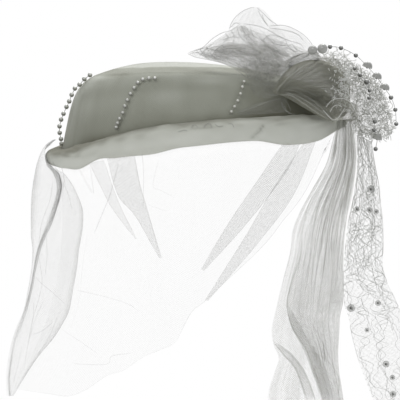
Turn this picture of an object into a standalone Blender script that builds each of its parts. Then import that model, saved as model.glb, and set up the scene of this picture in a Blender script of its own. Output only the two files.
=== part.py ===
# Veiled bridal hat, in the shape that it has when it is worn.
# Metres. +Z up, +X to the viewer's right, the front faces -Y. The origin is the middle of the crown's opening.

import math

import bpy
import numpy as np

# The picture's scale and the view it was measured in
PER_DOT = 0.0007  # metres for one picture dot, at the depth of the origin
VIEW_DISTANCE = 1.4
VIEW_RISE = math.radians(2)
VIEW_CENTRE_Z = -0.0466

# Driving sizes
CROWN_RX, CROWN_RY = 0.0970, 0.0880  # the base oval
CROWN_MID_X = 0.0005
TIP_RX, TIP_RY = 0.0815, 0.0760  # the oval where the tip starts
TIP_PEAK = (-0.024, 0.000, 0.0500)
CROWN_WALL = 0.0022
CROWN_SOFT_WALL = 0.0012  # at the tip's edge, where the wall leans
BRIM_WALL = 0.0020
VEIL_WALL = 0.0010
LOOP_WALL = 0.0011
NET_WALL = 0.0012
SEAT = 0.0003  # the clear gap between neighbours
SKIN_SLACK = 0.0001  # more gap where a curved piece lies on facets
PEARL_R = 0.00150
THREAD_R = 0.00036
LOOP_ROOT_HALF = 0.0029  # half the space between a bow loop's layers at the knot
LOOP_WAVE = 0.0016
LOOP_LIFT = 0.0016  # how far a bow loop stays over the crown
ROUND = 36  # facets round the crown and the brim

# Height of the base oval and of the tip's oval, by angle (0 is the viewer's right, 270 the front)
BASE_RISE = [(0, 0.0095), (45, 0.0117), (90, 0.0103), (135, -0.0018), (180, -0.0094),
             (225, -0.0016), (270, 0.0103), (315, 0.0118)]
TIP_RISE = [(0, 0.0320), (45, 0.0330), (90, 0.0345), (135, 0.0372), (180, 0.0400),
            (225, 0.0372), (252, 0.0352), (270, 0.0338), (290, 0.0345), (315, 0.0345)]
# The crown's wall: how far in and how far up, from the base to the tip's oval
CROWN_SIDE = [(0.00, 0.00), (0.14, 0.30), (0.29, 0.58), (0.46, 0.77), (0.71, 0.92), (1.00, 1.00)]
# The brim: how far out and how far down its lower edge is, by angle
BRIM_EDGE = [(0, 0.0050, 0.0070), (45, 0.0080, 0.0120), (90, 0.0090, 0.0130), (135, 0.0100, 0.0120),
             (180, 0.0105, 0.0090), (200, 0.0105, 0.0140), (220, 0.0105, 0.0178), (245, 0.0100, 0.0180),
             (270, 0.0095, 0.0178), (290, 0.0092, 0.0155), (310, 0.0090, 0.0165), (335, 0.0075, 0.0125)]


for old in list(bpy.data.objects):
    bpy.data.objects.remove(old, do_unlink=True)


# Small helpers

def at(right, down, depth):
    """A point seen at this picture dot, at this depth in metres behind (+) or before (-) the origin."""
    k = (200 - down) * PER_DOT / VIEW_DISTANCE
    c, s = math.cos(VIEW_RISE), math.sin(VIEW_RISE)
    z = (k * (VIEW_DISTANCE + depth * c) - depth * s) / (c + k * s)
    away = VIEW_DISTANCE + depth * c - z * s
    return np.array([(right - 200) * PER_DOT / VIEW_DISTANCE * away, depth, VIEW_CENTRE_Z + z])


def seen(point):
    """The picture dot at which a point is seen."""
    z = point[2] - VIEW_CENTRE_Z
    c, s = math.cos(VIEW_RISE), math.sin(VIEW_RISE)
    away = VIEW_DISTANCE + point[1] * c - z * s
    k = VIEW_DISTANCE / away / PER_DOT
    return 200 + point[0] * k, 200 - (point[1] * s + z * c) * k


def spline(rows, places):
    """A smooth curve through the rows, read at places from 0 to 1."""
    rows = np.array(rows, float)
    padded = np.vstack([2 * rows[0] - rows[1], rows, 2 * rows[-1] - rows[-2]])
    out = []
    for place in np.atleast_1d(places):
        x = min(max(place, 0.0), 1.0) * (len(rows) - 1)
        i = min(int(x), len(rows) - 2)
        t = x - i
        a, b, c, d = padded[i:i + 4]
        out.append(0.5 * (2 * b + (c - a) * t + (2 * a - 5 * b + 4 * c - d) * t ** 2
                          + (3 * b - a - 3 * c + d) * t ** 3))
    return np.array(out)


def by_length(rows, places):
    """The same curve, read at even steps of its length."""
    fine = spline(rows, np.linspace(0, 1, 300))
    steps = np.linalg.norm(np.diff(fine, axis=0), axis=1)
    along = np.concatenate([[0], np.cumsum(steps)]) / steps.sum()
    return np.stack([np.interp(places, along, fine[:, k]) for k in range(fine.shape[1])], axis=1)


def round_value(table, angle, column=1):
    """A table's value at an angle in degrees, smooth and without a seam."""
    table = sorted(table)
    angles = np.array([row[0] for row in table], float)
    values = np.array([row[column] for row in table], float)
    i = int(np.searchsorted(angles, angle % 360, side="right")) - 1
    n = len(angles)
    around = [(i + k) % n for k in (-1, 0, 1, 2)]
    a, b, c, d = values[around]
    span = (angles[around[2]] - angles[around[1]]) % 360
    t = ((angle - angles[around[1]]) % 360) / span
    return float(0.5 * (2 * b + (c - a) * t + (2 * a - 5 * b + 4 * c - d) * t ** 2
                        + (3 * b - a - 3 * c + d) * t ** 3))


def unit(v):
    return v / np.maximum(np.linalg.norm(v, axis=-1, keepdims=True), 1e-12)


def material(name, colour, rough):
    mat = bpy.data.materials.new(name)
    mat.use_nodes = True
    shader = mat.node_tree.nodes["Principled BSDF"]
    shader.inputs["Base Color"].default_value = (*colour, 1)
    shader.inputs["Roughness"].default_value = rough
    mat.diffuse_color = (*colour, 1)
    return mat


def node(name, points, faces, colour, rough=0.8):
    mesh = bpy.data.meshes.new(name)
    mesh.from_pydata([tuple(float(c) for c in p) for p in points], [], faces)
    mesh.update()
    obj = bpy.data.objects.new(name, mesh)
    bpy.context.scene.collection.objects.link(obj)
    mesh.materials.append(material(name + "_look", colour, rough))
    return obj


def grid_normals(grid):
    along = np.gradient(grid, axis=0)
    across = np.gradient(grid, axis=1)
    return unit(np.cross(along, across))


def sheet(name, grid, wall, colour, holes=0.0):
    """A closed cloth wall round a grid of middle points. With holes, each cell is cut but for its edge."""
    nu, nv = grid.shape[:2]
    lift = grid_normals(grid) * wall / 2
    points = list((grid + lift).reshape(-1, 3)) + list((grid - lift).reshape(-1, 3))
    back = nu * nv
    faces = []

    def spot(i, j, side):
        return i * nv + j + side * back

    for i in range(nu - 1):
        for j in range(nv - 1):
            ring = [(i, j), (i + 1, j), (i + 1, j + 1), (i, j + 1)]
            if not holes:
                faces.append([spot(a, b, 0) for a, b in ring])
                faces.append([spot(a, b, 1) for a, b in ring][::-1])
                continue
            inner = []
            for side in (0, 1):
                corners = [np.array(points[spot(a, b, side)]) for a, b in ring]
                middle = sum(corners) / 4
                first = len(points)
                points.extend([c + (middle - c) * holes for c in corners])
                inner.append([first + k for k in range(4)])
            for k in range(4):
                m = (k + 1) % 4
                faces.append([spot(*ring[k], 0), spot(*ring[m], 0), inner[0][m], inner[0][k]])
                faces.append([spot(*ring[m], 1), spot(*ring[k], 1), inner[1][k], inner[1][m]])
                faces.append([inner[0][k], inner[0][m], inner[1][m], inner[1][k]])
    rim = ([(i, 0) for i in range(nu)] + [(nu - 1, j) for j in range(1, nv)]
           + [(i, nv - 1) for i in range(nu - 2, -1, -1)] + [(0, j) for j in range(nv - 2, 0, -1)])
    for (a, b), (c, d) in zip(rim, rim[1:] + rim[:1]):
        faces.append([spot(c, d, 0), spot(a, b, 0), spot(a, b, 1), spot(c, d, 1)])
    return node(name, points, outward(points, faces), colour)


def outward(points, faces):
    """Turns every face round if the closed mesh is inside out."""
    volume = 0.0
    for face in faces:
        p = [np.array(points[k]) for k in face]
        for k in range(1, len(p) - 1):
            volume += np.dot(p[0], np.cross(p[k], p[k + 1]))
    return faces if volume > 0 else [face[::-1] for face in faces]


def rings(name, loops, colour, ends=True, rough=0.8):
    """A solid through rings of points. With ends, both end rings are closed, else they join each other."""
    n, m = len(loops), len(loops[0])
    points = [p for loop in loops for p in loop]
    faces = []
    for i in range(n - 1 if ends else n):
        k = (i + 1) % n
        for j in range(m):
            q = (j + 1) % m
            faces.append([i * m + j, i * m + q, k * m + q, k * m + j])
    if ends:
        for i, turned in ((0, True), (n - 1, False)):
            middle = len(points)
            points.append(sum(np.array(p) for p in loops[i]) / m)
            for j in range(m):
                pair = [i * m + j, i * m + (j + 1) % m]
                faces.append((pair[::-1] if turned else pair) + [middle])
    return node(name, points, outward(points, faces), colour, rough)


def strand(name, line, colour, sides=10, rough=0.3):
    """A thread with its beads as one body. Each row of line is a centre and the radius there."""
    line = [(np.array(p, float), r) for p, r in line]
    centres = np.array([p for p, _ in line])
    ways = unit(np.gradient(centres, axis=0))
    up = np.array([0.0, 1.0, 0.05])
    loops = []
    for (p, r), way in zip(line, ways):
        side = unit(np.cross(way, up))
        top = np.cross(side, way)
        turn = [2 * math.pi * k / sides for k in range(sides)]
        loops.append([p + r * (side * math.cos(a) + top * math.sin(a)) for a in turn])
    return rings(name, loops, colour, True, rough)


def bead_line(items, start=None, end=None):
    """Rows for strand: each item is a point, a radius and a kind, bead or cup."""
    rows = []
    points = [np.array(p, float) for p, _, _ in items]
    ways = unit(np.gradient(np.array(points), axis=0)) if len(points) > 1 else [np.array([0, 0, -1.0])]
    if start is not None:
        rows.append((start, THREAD_R))
    for k, ((p, r, kind), way) in enumerate(zip(items, ways)):
        p = np.array(p, float)
        if kind == "cup":
            profile = [(-0.62, None), (-0.40, 0.72), (0.02, 1.0), (0.12, 0.96), (0.20, None)]
        else:
            profile = [(-1.02, None), (-0.68, 0.74), (0.0, 1.0), (0.68, 0.74)]
            if k == len(items) - 1:
                profile.append((1.02, None))
        for place, wide in profile:
            rows.append((p + way * r * place, THREAD_R if wide is None else r * wide))
    if end is not None:
        rows.append((end, THREAD_R))
    return rows


# The crown's surface

def base_point(angle, out=0.0, down=0.0):
    a = math.radians(angle)
    way = unit(np.array([math.cos(a) / CROWN_RX, math.sin(a) / CROWN_RY, 0.0]))
    ring = np.array([CROWN_MID_X + CROWN_RX * math.cos(a), CROWN_RY * math.sin(a), round_value(BASE_RISE, angle)])
    return ring + way * out - np.array([0, 0, down])


def tip_point(angle):
    a = math.radians(angle)
    return np.array([CROWN_MID_X + TIP_RX * math.cos(a), TIP_RY * math.sin(a), round_value(TIP_RISE, angle)])


def crown_point(angle, side_in, side_up):
    low, high = base_point(angle), tip_point(angle)
    return np.array([*(low + (high - low) * side_in)[:2], low[2] + (high[2] - low[2]) * side_up])


def dome_point(angle, part):
    """From the tip's oval (part 0) to the peak (part 1)."""
    edge, peak = tip_point(angle), np.array(TIP_PEAK)
    p = edge + (peak - edge) * part
    p[2] = edge[2] + (peak[2] - edge[2]) * (1 - (1 - part) ** 2)
    return p


ANGLES = [360 * k / ROUND for k in range(ROUND)]
outer = [[crown_point(a, i, u) for a in ANGLES] for i, u in CROWN_SIDE]
outer += [[dome_point(a, f) for a in ANGLES] for f in (0.12, 0.32, 0.60, 0.86)]


def inside(loop, wall, drop):
    middle = np.array([CROWN_MID_X, 0, 0])
    out = []
    for p in loop:
        way = unit(np.array([p[0] - middle[0], p[1], 0.0]))
        q = p - way * wall
        q[2] -= drop
        out.append(q)
    return out


TIP_WALL = 0.0021
inner = [inside(outer[8], 0.0, TIP_WALL), inside(outer[6], CROWN_SOFT_WALL, CROWN_WALL),
         inside(outer[4], CROWN_WALL, 0.0016), inside(outer[2], CROWN_WALL, 0.0004), inside(outer[0], CROWN_WALL, 0.0)]


def crown_mesh():
    m = ROUND
    points = [p for loop in outer for p in loop]
    peak = len(points)
    points.append(np.array(TIP_PEAK))
    faces = [[i * m + j, i * m + (j + 1) % m, (i + 1) * m + (j + 1) % m, (i + 1) * m + j]
             for i in range(len(outer) - 1) for j in range(m)]
    last = (len(outer) - 1) * m
    faces += [[last + j, last + (j + 1) % m, peak] for j in range(m)]
    under = len(points)
    points.append(np.array(TIP_PEAK) - np.array([0, 0, TIP_WALL]))
    first = len(points)
    points += [p for loop in inner for p in loop]
    faces += [[under, first + j, first + (j + 1) % m][::-1] for j in range(m)]
    for i in range(len(inner) - 1):
        for j in range(m):
            q = (j + 1) % m
            a, b = first + i * m, first + (i + 1) * m
            faces.append([a + j, a + q, b + q, b + j])
    bottom = first + (len(inner) - 1) * m
    faces += [[bottom + j, bottom + (j + 1) % m, (j + 1) % m, j] for j in range(m)]
    return points, faces


crown_points, crown_faces = crown_mesh()
node("crown", crown_points, outward(crown_points, crown_faces), (0.50, 0.51, 0.44))

# A fine copy of the crown's skin, for laying pearls on it
SIDE_STEPS = spline(CROWN_SIDE, np.linspace(0, 1, 40))
SKIN_GRID = np.array([[crown_point(a, *step) for step in SIDE_STEPS]
                      + [dome_point(a, f) for f in np.linspace(0.03, 0.97, 34)] for a in np.arange(0, 361, 1.5)])
SKIN = SKIN_GRID.reshape(-1, 3)
SKIN_WAYS = grid_normals(SKIN_GRID).reshape(-1, 3)
SKIN_WAYS *= np.sign(((SKIN - np.array([0, 0, 0.01])) * SKIN_WAYS).sum(axis=1))[:, None]


def crown_top(x, y):
    """Height of the crown's skin over a place, or a low value beside the crown."""
    far = np.hypot(SKIN[:, 0] - x, SKIN[:, 1] - y)
    near = np.argsort(far)[:4]
    return float(SKIN[near, 2].max()) if far[near[0]] < 0.004 else -1.0


def on_crown(right, down, gap):
    """The point over a picture dot that stands this far off the crown's skin, on the viewer's side."""
    depths = np.arange(-0.100, 0.010, 0.001)
    ray = np.array([at(right, down, depth) for depth in depths])
    far = ((SKIN[None, ::3] - ray[:, None]) ** 2).sum(axis=2).min(axis=1)
    depth = depths[int(np.argmin(far))]
    for _ in range(6):
        p = at(right, down, depth)
        near = int(np.argmin(((SKIN - p) ** 2).sum(axis=1)))
        off = float(np.dot(p - SKIN[near], SKIN_WAYS[near]))
        if SKIN_WAYS[near, 1] > -0.25:
            return p + SKIN_WAYS[near] * max(gap - off, 0)
        depth += (gap - off) / SKIN_WAYS[near, 1]
    return at(right, down, depth)


# The brim: a soft cuff round the base

def brim_edge(angle):
    return round_value(BRIM_EDGE, angle, 1), round_value(BRIM_EDGE, angle, 2)


def brim_loop(angle):
    out, down = brim_edge(angle)
    profile = [(SEAT + SKIN_SLACK, -0.0008), (0.0024, -0.0011), (0.55 * out, 0.0000), (0.84 * out, 0.17 * down),
               (1.00 * out, 0.45 * down), (1.02 * out, 0.85 * down), (0.96 * out, 1.00 * down),
               (0.96 * out - BRIM_WALL * 0.8, 0.97 * down), (1.00 * out - BRIM_WALL, 0.50 * down),
               (0.62 * out - BRIM_WALL * 0.4, 0.0024), (SEAT + 0.0003, 0.0012)]
    return [base_point(angle, o, d) for o, d in profile]


rings("brim", [brim_loop(a) for a in ANGLES], (0.55, 0.56, 0.49), False)

# The face veil

VEIL_TOP_ANGLES = (200, 336)
# Its lower edge, from the hem's left end to the brim's right end
VEIL_LOW = [(16, 389), (30, 391), (51, 394), (69, 396), (87, 389), (106, 376), (124, 370), (143, 357), (160, 350),
            (176, 342), (191, 313), (204, 302), (224, 283), (240, 268), (255, 254), (270, 238), (282, 222),
            (296, 205), (306, 190), (317, 168), (324, 151)]
VEIL_LEFT_BEND = 20  # dots by which the left edge bows to the right half way down
VEIL_GRID = (22, 12)
VEIL_TUCK = 0.0005  # how far the veil's top lies further in than it has to
FOLD_LIFT = VEIL_WALL + SEAT + 0.0004  # how far before the veil's middle a fold's middle lies


def veil_depth(right, down, grow=0.0):
    """Depth of the veil's curtain, which stands wider lower down."""
    x = (right - 200) * PER_DOT
    t = min(max((down - 150) / 240, 0), 1)
    rx, ry = 0.108 + 0.030 * t + grow, 0.0950 + 0.008 * t + grow
    return -ry * math.sqrt(max(1 - (x / rx) ** 2, 0.0))


def veil_column(u, rows):
    angle = VEIL_TOP_ANGLES[0] + (VEIL_TOP_ANGLES[1] - VEIL_TOP_ANGLES[0]) * u
    out, down = brim_edge(angle)
    tuck = 0.95 * out - BRIM_WALL - SEAT - VEIL_WALL / 2 - VEIL_TUCK
    top = base_point(angle, tuck, 0.60 * down)
    low = base_point(angle, tuck, down + 0.0015)
    low_dot = np.array(seen(low))
    end_dot = by_length(VEIL_LOW, [u])[0]
    miss = low[1] - veil_depth(*low_dot)
    column = [top, low]
    for t in np.linspace(0, 1, rows - 1)[1:]:
        bend = VEIL_LEFT_BEND * math.sin(math.pi * t) * max(0, 1 - u / 0.35)
        dot = low_dot + (end_dot - low_dot) * t + np.array([bend, 0])
        column.append(at(*dot, veil_depth(*dot) + miss * (1 - t) ** 2))
    return column


veil_grid = np.array([veil_column(u, VEIL_GRID[1]) for u in np.linspace(0, 1, VEIL_GRID[0])])
sheet("face_veil", veil_grid, VEIL_WALL, (0.80, 0.80, 0.78))

# A fine copy of the veil's middle, for laying folds on it
fine_veil = np.array([veil_column(u, 60) for u in np.linspace(0, 1, 100)])
fine_ways = grid_normals(fine_veil)
fine_ways *= np.sign(-fine_ways[50, 30, 1])
fine_dots = np.array([seen(p) for p in fine_veil.reshape(-1, 3)])


def on_veil(right, down, off):
    """The point over a picture dot that stands this far before the face veil's middle."""
    near = np.argsort(((fine_dots - (right, down)) ** 2).sum(axis=1))[:4]
    way = unit(fine_ways.reshape(-1, 3)[near].mean(axis=0))
    p = at(right, down, fine_veil.reshape(-1, 3)[near, 1].mean())
    return p + way * off


# Folded darts in the veil: the two edges of each from its top to its tip, in picture dots
VEIL_FOLDS = {
    "veil_fold_right_upper": ([(279, 155), (258, 180), (230, 222), (203, 266)],
                              [(298, 155), (285, 174), (248, 222), (206, 269)]),
    "veil_fold_right_lower": ([(301, 158), (272, 194), (245, 237), (208, 292)],
                              [(311, 160), (294, 194), (258, 243), (212, 294)]),
    "veil_fold_left_outer": ([(93, 170), (99, 195), (118, 222), (134, 239)],
                             [(105, 170), (112, 195), (125, 220), (137, 238)]),
    "veil_fold_left_inner": ([(110, 166), (122, 200), (142, 231), (158, 256)],
                             [(133, 163), (142, 200), (151, 231), (162, 255)]),
}
for name, (left, right) in VEIL_FOLDS.items():
    steps = np.linspace(0, 1, 8)
    left, right = spline(left, steps), spline(right, steps)
    cells = [[on_veil(*(a + (b - a) * w), FOLD_LIFT) for w in (0, 0.5, 1)]
             for a, b in zip(left, right)]
    sheet(name, np.array(cells), VEIL_WALL * 0.9, (0.74, 0.74, 0.72))

# The side veil: a rope-like edge with a lobe behind it and a lobe before it
# down, left edge, rope, right edge, the rope's half width
SIDE_ROWS = [(151, 39.5, 42.5, 45.3, 1.2), (160, 37.2, 42.8, 45.5, 1.6), (167, 36, 46.5, 51.0, 2.6),
             (175, 34.5, 53, 64.0, 4.0), (184, 33, 56.5, 72, 4.6), (194, 31.5, 56, 77, 4.4),
             (209, 31, 52, 82.5, 3.8), (224, 31, 48, 83, 3.4), (236, 31, 41, 81.5, 3.0), (250, 32.5, 38, 79, 2.8),
             (268, 31.5, 35, 77, 2.6), (290, 28, 32, 73, 2.4), (311, 23.5, 27, 69, 2.4), (325, 17.5, 21, 62, 2.2),
             (339, 12.5, 15.5, 53, 2.2), (357, 8.5, 12, 38, 2.0), (378, 6, 9, 24, 2.0), (396, 6.5, 9.5, 13.5, 1.6)]
SIDE_TOP_BACK = 0.036  # how much further back the fall starts, beside the brim's end
SIDE_TOP_SHARE = 0.25  # the share of its height over which it comes forward
SIDE_BEFORE_VEIL = 0.0055
SIDE_LOBE_BACK = 0.022  # how far back the lobe behind the rope reaches
SIDE_CLEAR_DOWN = 0.0035  # how far under the brim's edge the fall is free of it
SIDE_CLEAR = SEAT + 0.0008


def beside_brim(p, gap):
    """The point, moved straight out if it is nearer than gap to the brim's outer side."""
    angle = math.degrees(math.atan2(p[1] / CROWN_RY, (p[0] - CROWN_MID_X) / CROWN_RX))
    out, down = brim_edge(angle)
    rim = base_point(angle, 1.03 * out + gap)
    if p[2] < base_point(angle)[2] - down - gap - SIDE_CLEAR_DOWN:
        return p
    grow = max(np.hypot(*rim[:2]) / np.hypot(*p[:2]), 1)
    return np.array([p[0] * grow, p[1] * grow, p[2]])


def side_loop(row):
    down, left, rope, right, half = row
    fall = (down - SIDE_ROWS[0][0]) / (SIDE_ROWS[-1][0] - SIDE_ROWS[0][0])
    back = SIDE_TOP_BACK * max(1 - fall / SIDE_TOP_SHARE, 0) ** 2
    cross = [(left, 0), ((left + rope) / 2 - half / 2, 0), (rope - half, 0), (rope, 0), (rope + half, 0),
             (rope + (right - rope) * 0.35 + half * 0.6, 0), (rope + (right - rope) * 0.70, 0), (right, 0)]
    middle = []
    for x, _ in cross:
        front = veil_depth(min(x + 4, 200), down, SIDE_BEFORE_VEIL)
        lobe_back = SIDE_LOBE_BACK * max(0, (rope - x) / 12) * (1 - fall) * min(fall / 0.1, 1)
        middle.append(beside_brim(at(x, down, front + lobe_back + back), SIDE_CLEAR))
    middle = np.array(middle)
    ways = unit(np.cross(np.gradient(middle, axis=0), np.array([0.0, 0, 1.0])))
    ways *= np.sign(-ways[-1][1])
    thick = [VEIL_WALL / 2] * len(cross)
    thick[3] = half * PER_DOT * 0.9
    thick[2] = thick[4] = half * PER_DOT * 0.45 + VEIL_WALL / 4
    lift = ways * np.array(thick)[:, None]
    return list(middle + lift) + list((middle - lift)[::-1])


side_rows = by_length(SIDE_ROWS, np.linspace(0, 1, 18) ** 1.4)  # closer together near the brim
rings("side_veil", [side_loop(row) for row in side_rows], (0.72, 0.72, 0.70))

# Bow loops: a band that goes out behind, turns at the outer end and comes back before


def loop_band(name, upper, lower, root, near, far, colour, steps=7, across=7, shrink=0.12):
    """upper and lower are the loop's edges from the knot to its outer end. root is its depth at the knot, and near
    and far are the depths of its two layers further out."""
    places = np.linspace(0, 1, steps)
    upper, lower = by_length(upper, places), by_length(lower, places)
    grid = []
    for k in list(range(steps)) + list(range(steps - 2, -1, -1)):
        side = 1 if len(grid) < steps - 1 else -1
        turn = places[k]
        ease = math.sin(math.pi / 2 * min(turn / 0.5, 1))
        spread = math.sqrt(max(1 - turn ** 4, 0))
        middle = root + ((near + far) / 2 - root) * ease
        half = (LOOP_ROOT_HALF + ((far - near) / 2 - LOOP_ROOT_HALF) * ease) * spread
        row = []
        for w in np.linspace(0, 1, across):
            inset = shrink * (1 - turn) if side > 0 else 0.0
            dot = upper[k] + (lower[k] - upper[k]) * (inset + (1 - 2 * inset) * w)
            wave = LOOP_WAVE * math.sin(2 * math.pi * (1.5 * w + 0.35 * turn)) * spread * ease
            p = at(*dot, middle + side * half + wave)
            p[2] = max(p[2], crown_top(p[0], p[1]) + LOOP_LIFT)
            row.append(p)
        grid.append(row)
    return sheet(name, np.array(grid), LOOP_WALL, colour)


loop_band("bow_loop_left", [(285, 50), (266, 33), (246, 25), (226, 34), (205, 46), (188, 52)],
          [(279, 84), (264, 81), (247, 75), (230, 66), (210, 60), (189, 55)],
          -0.0620, -0.0785, -0.0605, (0.60, 0.60, 0.56))
loop_band("bow_loop_top", [(264, 60), (240, 42), (230, 27), (238, 15), (250, 8)],
          [(294, 56), (288, 40), (276, 24), (266, 12), (259, 7)],
          -0.0545, -0.0560, -0.0430, (0.76, 0.76, 0.74))
loop_band("bow_loop_right", [(262, 44), (270, 26), (284, 25), (300, 33), (312, 45)],
          [(296, 64), (302, 62), (308, 58), (312, 54), (314, 50)],
          -0.0408, -0.0372, -0.0230, (0.76, 0.76, 0.74))

# The knot: a twisted, gathered lump over the crown's right front

# right, down, depth in mm, half height in dots, half depth in mm
KNOT_LINE = [(262, 91, -77.8, 4, 2.5), (272, 86, -77.8, 9, 5.0), (288, 78, -73.8, 16, 8.0), (306, 74, -68, 20, 11.0),
             (323, 77, -60, 22, 13.0), (335, 87, -56, 20, 13.0), (342, 100, -53.5, 14, 10.0), (344, 110, -53, 9, 7.0),
             (341, 117, -53.5, 4, 4.0)]
STRAP_LINE = [(279, 101, -76.5, 2, 1.5), (290, 104, -74, 5, 2.5), (303, 109, -72, 6, 3.0), (315, 114, -68.8, 6, 3.0),
              (324, 118.5, -63.5, 4, 2.5), (331, 121, -59, 2, 1.5)]


def lobed(line, count, sides, turns, folds, deep):
    """Rings along a measured line, with a twist of folds."""
    rows = by_length(line, np.linspace(0, 1, count))
    centres = np.array([at(r[0], r[1], r[2] / 1000) for r in rows])
    ways = unit(np.gradient(centres, axis=0))
    loops = []
    for k, (row, p, way) in enumerate(zip(rows, centres, ways)):
        side = unit(np.cross(way, np.array([0, 1.0, 0])))
        front = np.cross(side, way)
        loop = []
        for j in range(sides):
            a = 2 * math.pi * j / sides
            swell = 1 + deep * math.cos(folds * a + turns * 2 * math.pi * k / (count - 1))
            loop.append(p + swell * (side * math.cos(a) * row[3] * PER_DOT + front * math.sin(a) * row[4] / 1000))
        loops.append(loop)
    return loops


rings("knot", lobed(KNOT_LINE, 13, 18, 0.8, 4, 0.09), (0.42, 0.42, 0.38))
rings("knot_strap", lobed(STRAP_LINE, 8, 10, 0.3, 2, 0.15), (0.46, 0.46, 0.42))

# A small fold of tulle that lies on the crown beside the knot
FLAP_UPPER = [(239, 112), (252, 106), (268, 101), (282, 98)]
FLAP_LOWER = [(240, 113), (254, 113), (270, 112), (286, 111)]
flap_top, flap_low = spline(FLAP_UPPER, np.linspace(0, 1, 7)), spline(FLAP_LOWER, np.linspace(0, 1, 7))
flap_gap = SEAT + VEIL_WALL / 2 + 2 * SKIN_SLACK
flap_grid = [[on_crown(*(a + (b - a) * w), flap_gap) for w in (0, 0.5, 1)] for a, b in zip(flap_top, flap_low)]
sheet("tulle_flap", np.array(flap_grid), VEIL_WALL, (0.60, 0.60, 0.55))

# The net pouf: a crinkled pouch of coarse net, open at its middle
POUF_MIDDLE = (348, 102)
POUF_DEPTH, POUF_SWELL, POUF_CRUMPLE = -0.0308, 0.0120, 0.0014
POUF_EDGE = [(318, 62), (326, 54), (338, 53), (351, 59), (363, 69), (373, 79), (382, 91), (389, 104), (393, 118),
             (394, 131), (387, 138), (376, 140), (364, 137), (354, 131)]


def pouf_loop(k, dot):
    loop = []
    for r, layer in ((0.22, -1), (0.50, -1), (0.78, -1), (1.0, 0), (0.78, 1), (0.50, 1), (0.22, 1)):
        wobble = 1 + 0.05 * math.sin(2.3 * k + 3 * r)
        x = POUF_MIDDLE[0] + (dot[0] - POUF_MIDDLE[0]) * r * wobble
        y = POUF_MIDDLE[1] + (dot[1] - POUF_MIDDLE[1]) * r * wobble
        swell = POUF_SWELL * math.sqrt(1 - r ** 2) + POUF_CRUMPLE * math.sin(2.9 * k + 7 * r)
        loop.append(at(x, y, POUF_DEPTH + layer * swell))
    return loop


pouf_dots = by_length(POUF_EDGE, np.linspace(0, 1, 16))
sheet("net_pouf", np.array([pouf_loop(k, dot) for k, dot in enumerate(pouf_dots)]), NET_WALL, (0.55, 0.55, 0.52))

# The streamers
TULLE_LEFT = [(336, 120.2), (334, 135), (327, 163), (312, 190), (301, 210), (293, 230), (290, 255), (283, 281),
              (277, 306), (272, 329), (274, 345), (279, 358), (275, 372), (269, 390), (267, 410)]
TULLE_RIGHT = [(351, 119), (354, 135), (356, 158), (353, 182), (349, 204), (346, 225), (344, 245), (343, 272),
               (343, 301), (340, 316), (339, 335), (338, 352), (339, 372), (342, 390), (345, 410)]
NET_LEFT = [(357, 135), (358, 163), (355, 185), (352, 204), (348, 225), (346, 242), (344, 272), (344, 301),
            (349, 320), (353, 339), (359, 362), (368, 386), (378, 410)]
NET_RIGHT = [(371, 141.5), (375, 166), (379, 185), (381, 204), (382, 220), (383, 237), (383, 265), (387, 281),
             (393, 294), (400, 312), (405, 335), (410, 370), (414, 410)]


def streamer(left, right, depth, pleats, deep, across, down, slope, phase=0.0):
    left, right = by_length(left, np.linspace(0, 1, down)), by_length(right, np.linspace(0, 1, down))
    grid = []
    for u in np.linspace(0, 1, across):
        column = []
        for k, v in enumerate(np.linspace(0, 1, down)):
            dot = left[k] + (right[k] - left[k]) * u
            wave = deep * (0.35 + 0.65 * v) * math.sin(2 * math.pi * (pleats * u + phase + 0.12 * math.sin(4 * v)))
            column.append(at(*dot, depth + slope * v + wave))
        grid.append(column)
    return np.array(grid)


TULLE_DEPTH, NET_DEPTH = -0.0550, -0.0305
tulle_grid = streamer(TULLE_LEFT, TULLE_RIGHT, TULLE_DEPTH, 4.0, 0.0042, 21, 11, 0.004)
sheet("tulle_streamer", tulle_grid, VEIL_WALL, (0.66, 0.66, 0.63))
net_grid = streamer(NET_LEFT, NET_RIGHT, NET_DEPTH, 1.5, 0.0030, 6, 13, 0.006, 0.1)
sheet("net_streamer", net_grid, NET_WALL, (0.72, 0.72, 0.69), holes=0.72)

# Pearl garlands over the crown: the bead centres in picture dots
GARLANDS = {
    "pearl_garland_left": [(91.7, 77.9), (86.3, 81.1), (81.1, 85.6), (77, 89.7), (72.7, 95.3), (69.4, 101.4),
                           (66.5, 106.9), (63.5, 113.7), (61.1, 119.6), (59.5, 126.3), (59.7, 132.8), (61.1, 139)],
    "pearl_garland_middle": [(116.0, 127.6), (117.4, 123.4), (119.4, 119.0), (122.5, 113), (124.7, 106.4),
                             (127.2, 100.3), (130.3, 94), (133.9, 88.2), (137.6, 83), (142.5, 79.8), (148.6, 78.7),
                             (154.6, 78.5)],
    "pearl_garland_right": [(243.8, 81.8), (242.2, 87.3), (240.3, 94), (237.5, 101), (234.4, 106.9), (231.2, 112.0)],
}
for name, dots in GARLANDS.items():
    items = [(on_crown(x, y, PEARL_R + SEAT + SKIN_SLACK), PEARL_R, "bead") for x, y in dots]
    strand(name, bead_line(items), (0.62, 0.60, 0.54))

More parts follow.
